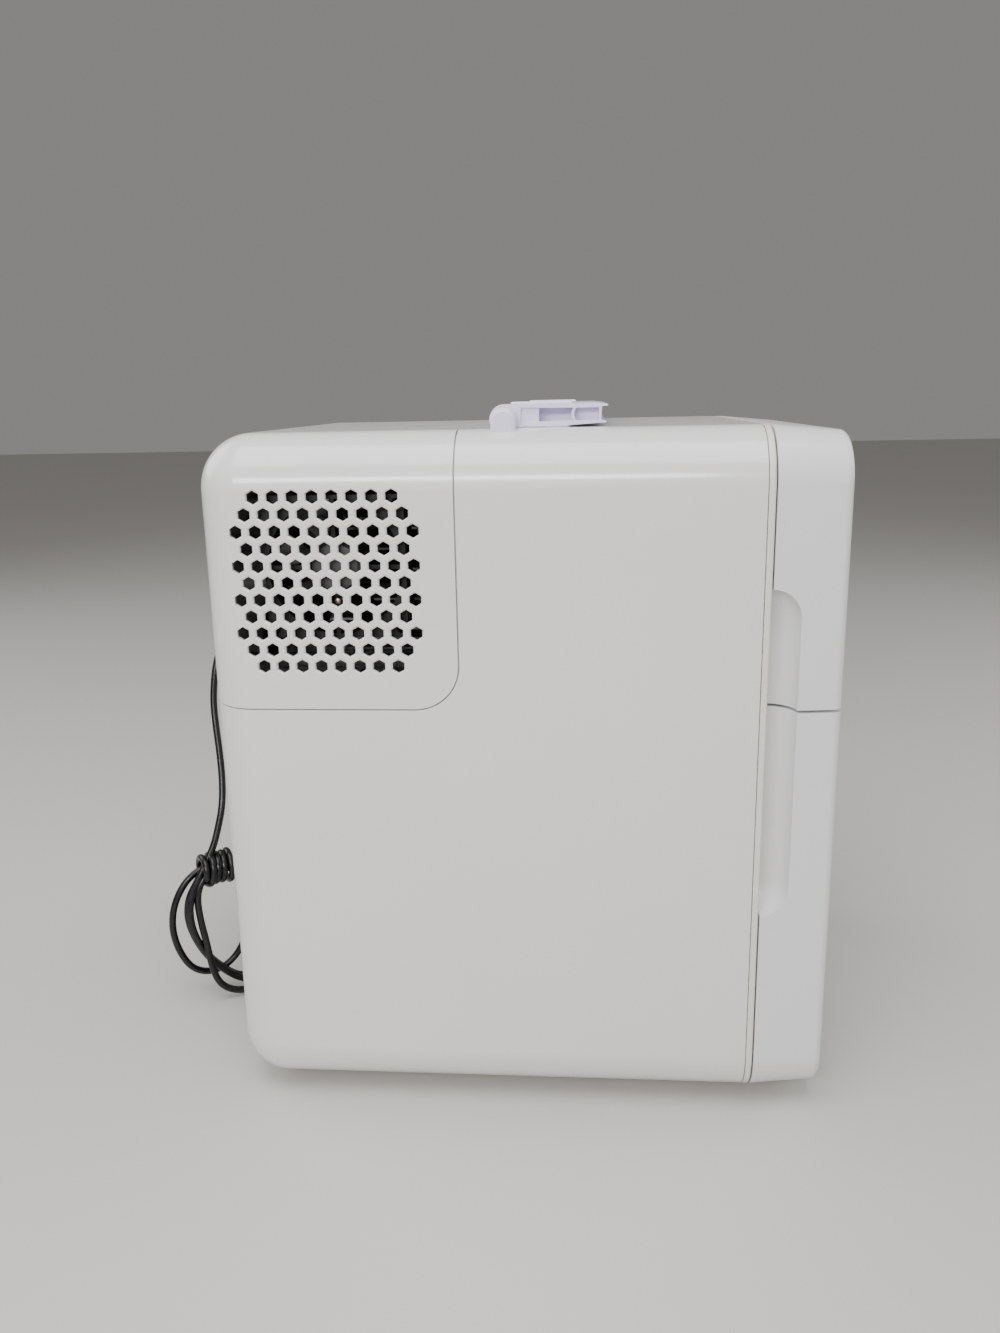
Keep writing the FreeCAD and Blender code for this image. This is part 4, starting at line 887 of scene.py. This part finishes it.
@dataclass
class Cabinet:
    """Casing shell, shoulder cover with its grilles, front frame and feet."""

    half_width: float = 145.0
    low: float = 5.0
    high: float = 410.0
    front: float = -134.6
    back: float = 180.5
    edge: float = 32.0
    back_edge: float = 30.0
    wall: float = 2.6
    seam_y: float = 32.0
    seam_z: float = 255.0
    seam_corner: float = 26.0
    seam_gap: float = 0.8
    pitch: float = 11.0
    flats: float = 6.8
    vent_centre: tuple[float, float] = (105.0, 328.4)

    def _skin(self, name: str, inset: float, front: float) -> bpy.types.Object:
        """Closed casing form: offset rounded rectangles that shrink in a quarter circle at the back.

        Args:
            name: Name of the form.
            inset: How far the form lies inside the outer skin.
            front: Y where the form begins.

        Returns:
            The closed form.
        """
        radius = self.back_edge - inset
        turn = np.linspace(0.0, math.pi / 2, 15)
        level = np.concatenate([[front], self.back - self.back_edge + radius * np.sin(turn)])
        shrink = np.concatenate([[inset], inset + radius * (1.0 - np.cos(turn))])
        middle, half_height = (self.low + self.high) / 2, (self.high - self.low) / 2
        loops = rounded_loops(self.half_width, half_height, self.edge, shrink, level, middle, 18)
        return tube_of_loops(name, loops)

    def _hollow(self, name: str) -> bpy.types.Object:
        """Casing of even wall that is open at the front."""
        return carve(self._skin(name, 0.0, self.front), self._skin("hollow", self.wall, self.front - 5.0))

    def _shoulder(self, gap: float) -> bpy.types.Object:
        """Block that fills the shoulder behind and above the seam, rounded where its sides meet."""
        y, z, radius = self.seam_y + gap, self.seam_z + gap, self.seam_corner - gap
        turn = np.linspace(math.pi, 1.5 * math.pi, 17)
        arc = np.column_stack([y + radius + radius * np.cos(turn), z + radius + radius * np.sin(turn)])
        beyond, above = self.back + 20, self.high + 20
        outline = np.vstack([arc, [(beyond, z), (beyond, above), (y, above)]])
        return prism("shoulder", outline, Axis.X, -self.half_width - 10, self.half_width + 10)

    def _holes(self) -> bpy.types.Object:
        """Hexagonal prisms of both grilles in staggered rows, as one object.

        Corner k of a prism stands at the angle 60 k degrees from upright, at flats / sqrt(3) from its axis.
        Near the wall's face the prism widens at 45 degrees, which leaves a light rim round each hole.
        """
        rows = np.arange(-5, 6)
        counts = [8 if abs(r) == 5 else (9 if r % 2 == 0 else 10) for r in rows]
        spots = np.array([(self.vent_centre[0] + (c - (n - 1) / 2) * self.pitch,
                           self.vent_centre[1] + r * self.pitch * math.sqrt(3) / 2)
                          for r, n in zip(rows, counts) for c in range(n)])
        turn = np.arange(6) * math.pi / 3
        ring = self.flats / math.sqrt(3) * np.column_stack([np.sin(turn), np.cos(turn)])
        count, total = len(spots), 6 * len(spots)
        first = (np.arange(count) * 6)[:, None]
        k = np.arange(6)[None, :]
        points, faces = [], []
        for side in (-1, 1):
            start = len(points) * total
            # depth under the wall's face, and how much wider the prism is there on each side
            for depth, growth in ((-0.2, 0.9), (0.7, 0.0), (9.0, 0.0)):
                around = spots[:, None, :] + (1 + 2 * growth / self.flats) * ring[None, :, :]
                wall = np.full((count, 6, 1), side * (self.half_width - depth))
                points.append(np.concatenate([wall, around], axis=2).reshape(-1, 3))
            for level in (start, start + total):
                here, there = first + k + level, first + (k + 1) % 6 + level
                faces.append(np.stack([here, there, there + total, here + total], axis=2).reshape(-1, 4))
            faces += [first + np.arange(6)[::-1] + start, first + np.arange(6) + start + 2 * total]
        return make_object("vent_holes", np.concatenate(points), faces)

    def build(self, finishes: Finishes) -> None:
        """Make and dress the cabinet's outside.

        Args:
            finishes: The finishes.
        """
        self._shell(finishes)
        self._cover(finishes)
        dress_nodes(finishes.cream, "front_frame")
        dress_nodes(finishes.foot, "feet")
        dress_nodes(finishes.foam, "foam_insulation")
        dress_nodes(finishes.steel, "cover_screws", "rear_standoffs")

    def _shell(self, finishes: Finishes) -> None:
        """Casing less the shoulder, with a closed well in its top under each hub of the handle."""
        shell = carve(self._hollow("casing_shell"), self._shoulder(0.0))
        hub_room = 9.0
        for side in (-1, 1):
            low, high = sorted((side * 95.6, side * 112.4))
            carve(shell, block("well", (low, -3.5, 403.6), (high, 16.9, 409.0)), Cut.ADD)
            low, high = sorted((side * 96.8, side * 111.9))
            ring = np.linspace(0.0, 2 * math.pi, 64, endpoint=False)
            circle = np.column_stack([np.cos(ring), np.sin(ring)])
            outline = np.array(HANDLE_PIVOT) + hub_room * circle
            carve(shell, prism("hub_room", outline, Axis.X, low, high))
        dress(finishes.casing, soften(shell, 0.45))
        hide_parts("outer_shell")
        report(shell, "cabinet")

    def _cover(self, finishes: Finishes) -> None:
        """Shoulder cover with both grilles, the rear panel's window and four stepped screw holes."""
        cover = carve(self._hollow("shoulder_cover"), self._shoulder(self.seam_gap), Cut.KEEP_COMMON)
        carve(cover, self._holes())
        carve(cover, block("window", (-34, self.back - 6, 259), (62, self.back + 5, 292)))
        shank, head, step = 1.7, 3.3, self.back - 1.3
        profile = np.array([(self.back - 4, shank), (step, shank), (step, head), (self.back + 1, head)])
        for x in (-104, 104):
            for z in (275, 372):
                carve(cover, turned("screw_hole", profile, (x, 0, z), Axis.Y, 24))
        dress(finishes.casing, soften(cover, 0.5))
        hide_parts("rear_vent_cover")
        report(cover, "cabinet")


# ---------------------------------------------------------------- doors

@dataclass
class Door:
    """One door: drafted skin with a finger recess, insulation, inner panel, seal and bins."""

    name: str
    low: float
    high: float
    tongues: tuple[float, float]
    recess: tuple[float, float]
    room: tuple[float, float]
    mouth: tuple[float, float]
    bins: tuple[str, ...]
    half_width: float = 145.0
    base: float = 5.0
    top: float = 410.0
    back: float = -139.5
    depth: float = 41.0
    draft: float = 5.57
    edge: float = 32.0
    front_edge: float = 5.0
    recess_radius: float = 16.5
    tongue_room: float = 1.85
    hinge: tuple[float, float] = (138.5, -146.0)

    def _form(self) -> bpy.types.Object:
        """Closed form of the whole front: the sides lean in by the draft and turn into the front in an arc.

        The arc touches the leaning side and the flat front; its centre lies one arc radius behind the front
        and as far inside the side.
        """
        lean = math.radians(self.draft)
        turn = np.linspace(lean, math.pi / 2, 11)
        centre = self.depth - self.front_edge
        inset = centre * math.tan(lean) + self.front_edge / math.cos(lean) - self.front_edge * np.cos(turn)
        depth = np.concatenate([[0.0], centre + self.front_edge * np.sin(turn)])
        inset = np.concatenate([[0.0], inset])
        middle, half_height = (self.top + self.base) / 2, (self.top - self.base) / 2
        loops = rounded_loops(self.half_width, half_height, self.edge, inset, self.back - depth, middle, 18)
        return tube_of_loops(f"{self.name}_front", loops)

    def _recess(self) -> bpy.types.Object:
        """Recess tool: an upright cylinder about the free back corner that ends in a dome."""
        flat, dome = self.recess
        radius = self.recess_radius
        up = 1.0 if dome > flat else -1.0
        turn = np.linspace(0.0, math.pi / 2, 15)
        level = dome - up * radius + up * radius * np.sin(turn)
        reach = np.maximum(radius * np.cos(turn), 0.01)
        profile = np.vstack([[(flat, radius)], np.column_stack([level, reach])])
        return turned("recess", profile, (-self.half_width, self.back + 0.5, 0.0), Axis.Z, 72)

    def _hinge_edge(self) -> bpy.types.Object:
        """Tool that rounds the back edge at the hinge: a square rod less a quarter circle."""
        radius = 6.4
        turn = np.linspace(0.0, math.pi / 2, 11)
        x, y = self.half_width - radius, self.back - radius
        arc = np.column_stack([x + radius * np.cos(turn), y + radius * np.sin(turn)])
        beyond, behind = self.half_width + 3, self.back + 3
        outline = np.vstack([arc, [(x, behind), (beyond, behind), (beyond, y)]])
        return prism("hinge_edge", outline, Axis.Z, -5.0, 450.0)

    def _seal(self, finishes: Finishes) -> None:
        """Magnetic seal: a hollow bead with a bellows, its section carried round the mouth.

        Every section point lies at its own offset from the mouth's loop and its own depth, so the seal is a
        row of offset loops that closes on itself.
        """
        section = np.array([(0.0, 0.0), (0.4, 0.75), (0.0, 1.3), (0.5, 1.85), (1.2, 2.55), (2.4, 2.8),
                            (5.0, 2.8), (6.2, 2.55), (6.8, 1.85), (6.2, 1.3), (6.6, 0.75), (6.2, 0.0)])
        half_z = (self.mouth[1] - self.mouth[0]) / 2 + 9.4
        loops = rounded_loops(124.0, half_z, 12.0, section[:, 0], self.back - 3.0 + section[:, 1],
                              (self.mouth[1] + self.mouth[0]) / 2, 8)
        seal = tube_of_loops(f"{self.name}_seal", loops, closed=False)
        dress(finishes.seal, soften(seal, 0.15, 50.0))
        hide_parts(f"{self.name}_gasket")
        report(seal, self.name)

    def build(self, finishes: Finishes) -> None:
        """Make and dress the door.

        Args:
            finishes: The finishes.
        """
        skin = self._form()
        carve(skin, block("span", (-200, -220, self.low), (200, -100, self.high)), Cut.KEEP_COMMON)
        carve(skin, self._hinge_edge())
        carve(skin, self._recess())
        wall, behind = 3.0, self.back + 1
        floor, ceiling = self.room
        room = block("room", (-125, self.back - self.depth + wall, floor), (129, behind, ceiling))
        carve(skin, room)
        x, y = self.hinge
        for level in self.tongues:
            low, high = level - self.tongue_room, level + self.tongue_room
            carve(skin, block("slot", (x - 5, self.back - 16, low), (self.half_width + 5, behind, high)))
        for level, way in zip(self.tongues, (1, -1)):
            profile = np.array([(level, 2.05), (level + way * 10.2, 2.05)])
            carve(skin, turned("pin_hole", profile, (x, y, 0.0), Axis.Z, 32))
        dress(finishes.door, soften(skin, 0.5))
        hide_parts(f"{self.name}_skin")
        report(skin, self.name)
        self._seal(finishes)
        dress_nodes(finishes.liner, f"{self.name}_liner")
        dress_nodes(finishes.foam, f"{self.name}_foam")
        dress_nodes(finishes.clear, *self.bins)


# ---------------------------------------------------------------- carry handle

@dataclass
class CarryHandle:
    """Folding bail with channelled arms, its posts and pins."""

    pivot: tuple[float, float] = HANDLE_PIVOT
    hub: float = 8.4
    outer: float = 111.4
    inner: float = 97.0
    pin_room: float = 2.56

    def _arc(self, radius: float, turn: np.ndarray) -> np.ndarray:
        """Points on a circle about the pivot, as rows of (y, z)."""
        y, z = self.pivot
        return np.column_stack([y + radius * np.cos(turn), z + radius * np.sin(turn)])

    def _side_view(self) -> np.ndarray:
        """Bail's outline from the side: hub arc, flat top, two lips with a web between, bowed underside."""
        hub = self._arc(self.hub, np.linspace(math.pi / 2, -math.radians(118), 26))
        bow = 410.75 + 1.2 * np.linspace(1.0, -0.35, 13) ** 2
        under = np.column_stack([np.linspace(-46.0, 2.0, 13), bow])
        front = np.array([(-50.2, 412.9), (-49.9, 412.1)])
        lips = np.array([(-50.9, 422.1), (-50.9, 421.2), (-47.6, 420.9), (-47.2, 413.7)])
        return np.vstack([hub, under[::-1], front[::-1], lips[::-1], [(-44.0, 422.9)]])

    def build(self, finishes: Finishes) -> None:
        """Make and dress the handle.

        Args:
            finishes: The finishes.
        """
        bail = prism("handle_bail", self._side_view(), Axis.X, -self.outer, self.outer)
        carve(bail, block("window", (-self.inner, -28, 400), (self.inner, 30, 430)))
        carve(bail, block("grip_channel", (-self.inner + 2, -45.4, 413.8), (self.inner - 2, -20, 420.5)))
        turn = np.linspace(-0.32, 0.32, 9)
        rib = np.column_stack([-32.2 - 24.0 * (1.0 - np.cos(turn)), 416.95 + 11.0 * np.sin(turn)])
        for side in (-1, 1):
            face = side * (self.outer + 1)
            for outline, depth in (
                    (np.array([(-12.6, 413.2), (-12.6, 420.7), (-2.6, 420.9), (-2.2, 413.0)]), 1.6),
                    (np.vstack([rib[::-1] + (1.6, 0.0), [(-12.7, 413.3), (-12.7, 420.6)]]), 10.5),
                    (np.vstack([rib[::-1], [(-45.9, 413.7), (-45.9, 420.4)]]), 7.5)):
                low, high = sorted((face, side * (self.outer - depth)))
                carve(bail, prism("arm_pocket", outline, Axis.X, low, high))
            low, high = sorted((side * (self.inner - 1), side * (self.outer + 1)))
            hole = self._arc(self.pin_room, np.linspace(0.0, 2 * math.pi, 32, endpoint=False))
            carve(bail, prism("pin_hole", hole, Axis.X, low, high))
        dress(finishes.lilac, soften(bail, 0.4, 30.0))
        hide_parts("carry_handle")
        report(bail, "handle")
        for side, name in ((-1, "left"), (1, "right")):
            self._post(side, name, finishes)
        dress_nodes(finishes.lilac, "handle_inlays")
        dress_nodes(finishes.steel, "handle_pins")

    def _post(self, side: int, name: str, finishes: Finishes) -> None:
        """Post with a domed top: tombstone outlines that step in towards the outer face.

        Args:
            side: -1 for the free side and 1 for the hinge side.
            name: Word for that side.
            finishes: The finishes.
        """
        inset = np.array([0.0, 0.0, 0.12, 0.45, 1.0, 1.9, 2.1, 2.25])
        level = np.array([112.0, 121.9, 122.6, 123.2, 123.55, 123.7, 123.75, 123.95])
        turn = np.linspace(0.0, math.pi, 25)[None, :]
        reach = (7.0 - inset)[:, None]
        y = self.pivot[0] + reach * np.cos(turn)
        z = self.pivot[1] + reach * np.sin(turn)
        foot_y = np.stack([y[:, -1], y[:, 0]], axis=1)
        foot_z = np.full_like(foot_y, 406.2)
        y, z = np.hstack([y, foot_y]), np.hstack([z, foot_z])
        x = np.broadcast_to(side * level[:, None], y.shape)
        post = tube_of_loops(f"{name}_post", np.stack([x, y, z], axis=2))
        dress(finishes.lilac, soften(post, 0.2, 40.0))
        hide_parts(f"{name}_handle_post")
        report(post, "cabinet")


# ---------------------------------------------------------------- inside and back

@dataclass
class Inside:
    """Compartments, cooling stack, electronics, hinges and the rear panel."""

    fan_centre: tuple[float, float, float] = (-138.5, 101.0, 336.5)
    contact: tuple[float, float] = (-0.7, -19.0)

    def build(self, finishes: Finishes) -> None:
        """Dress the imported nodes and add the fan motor's label and contact.

        Args:
            finishes: The finishes.
        """
        dress_nodes(finishes.liner, "upper_liner", "lower_liner", "inner_fan_cover")
        dress_nodes(finishes.clear, "lower_shelf")
        dress_nodes(finishes.aluminium, "cold_sink", "cold_block", "hot_sink")
        dress_nodes(finishes.ceramic, "peltier_module")
        dress_nodes(finishes.fan, "side_fan_frame", "side_fan_rotor", "inner_fan_frame", "inner_fan_rotor")
        dress_nodes(finishes.black, "rear_socket_plate", "switch_bezel", "mode_switch_rocker")
        dress_nodes(finishes.supply, "power_supply")
        dress_nodes(finishes.board, "control_board")
        dress_nodes(finishes.steel, "top_hinge", "middle_hinge", "bottom_hinge")
        label = np.array([(-0.35, 0.01), (-0.35, 12.6), (-0.3, 12.9), (-0.02, 13.0)])
        disc = turned("motor_label", label, self.fan_centre, Axis.X, 40)
        dress(finishes.label, disc)
        report(disc, "cabinet")
        dome = np.array([(-1.5, 0.01), (-1.4, 1.0), (-1.0, 1.8), (-0.2, 2.1)])
        x, y, z = self.fan_centre
        contact = turned("motor_contact", dome, (x, y + self.contact[0], z + self.contact[1]), Axis.X, 24)
        dress(finishes.copper, contact)
        report(contact, "cabinet")


def main() -> None:
    """Build the whole fridge in order."""
    logging.basicConfig(level=logging.INFO, format="%(name)s: %(message)s")
    finishes = Finishes()
    Studio().build(finishes)
    MainsLead().build(finishes)
    Cabinet().build(finishes)
    Door("upper_door", 255.3, 410.5, (254.5, 373.0), (251.0, 323.5), (258.3, 388.0), (268.0, 378.0),
         ("upper_door_bin",)).build(finishes)
    Door("lower_door", 4.5, 253.7, (44.0, 254.5), (258.0, 131.0), (24.0, 250.7), (35.0, 241.0),
         ("lower_door_bin_high", "lower_door_bin_low")).build(finishes)
    CarryHandle().build(finishes)
    Inside().build(finishes)


if __name__ == "__main__":
    main()
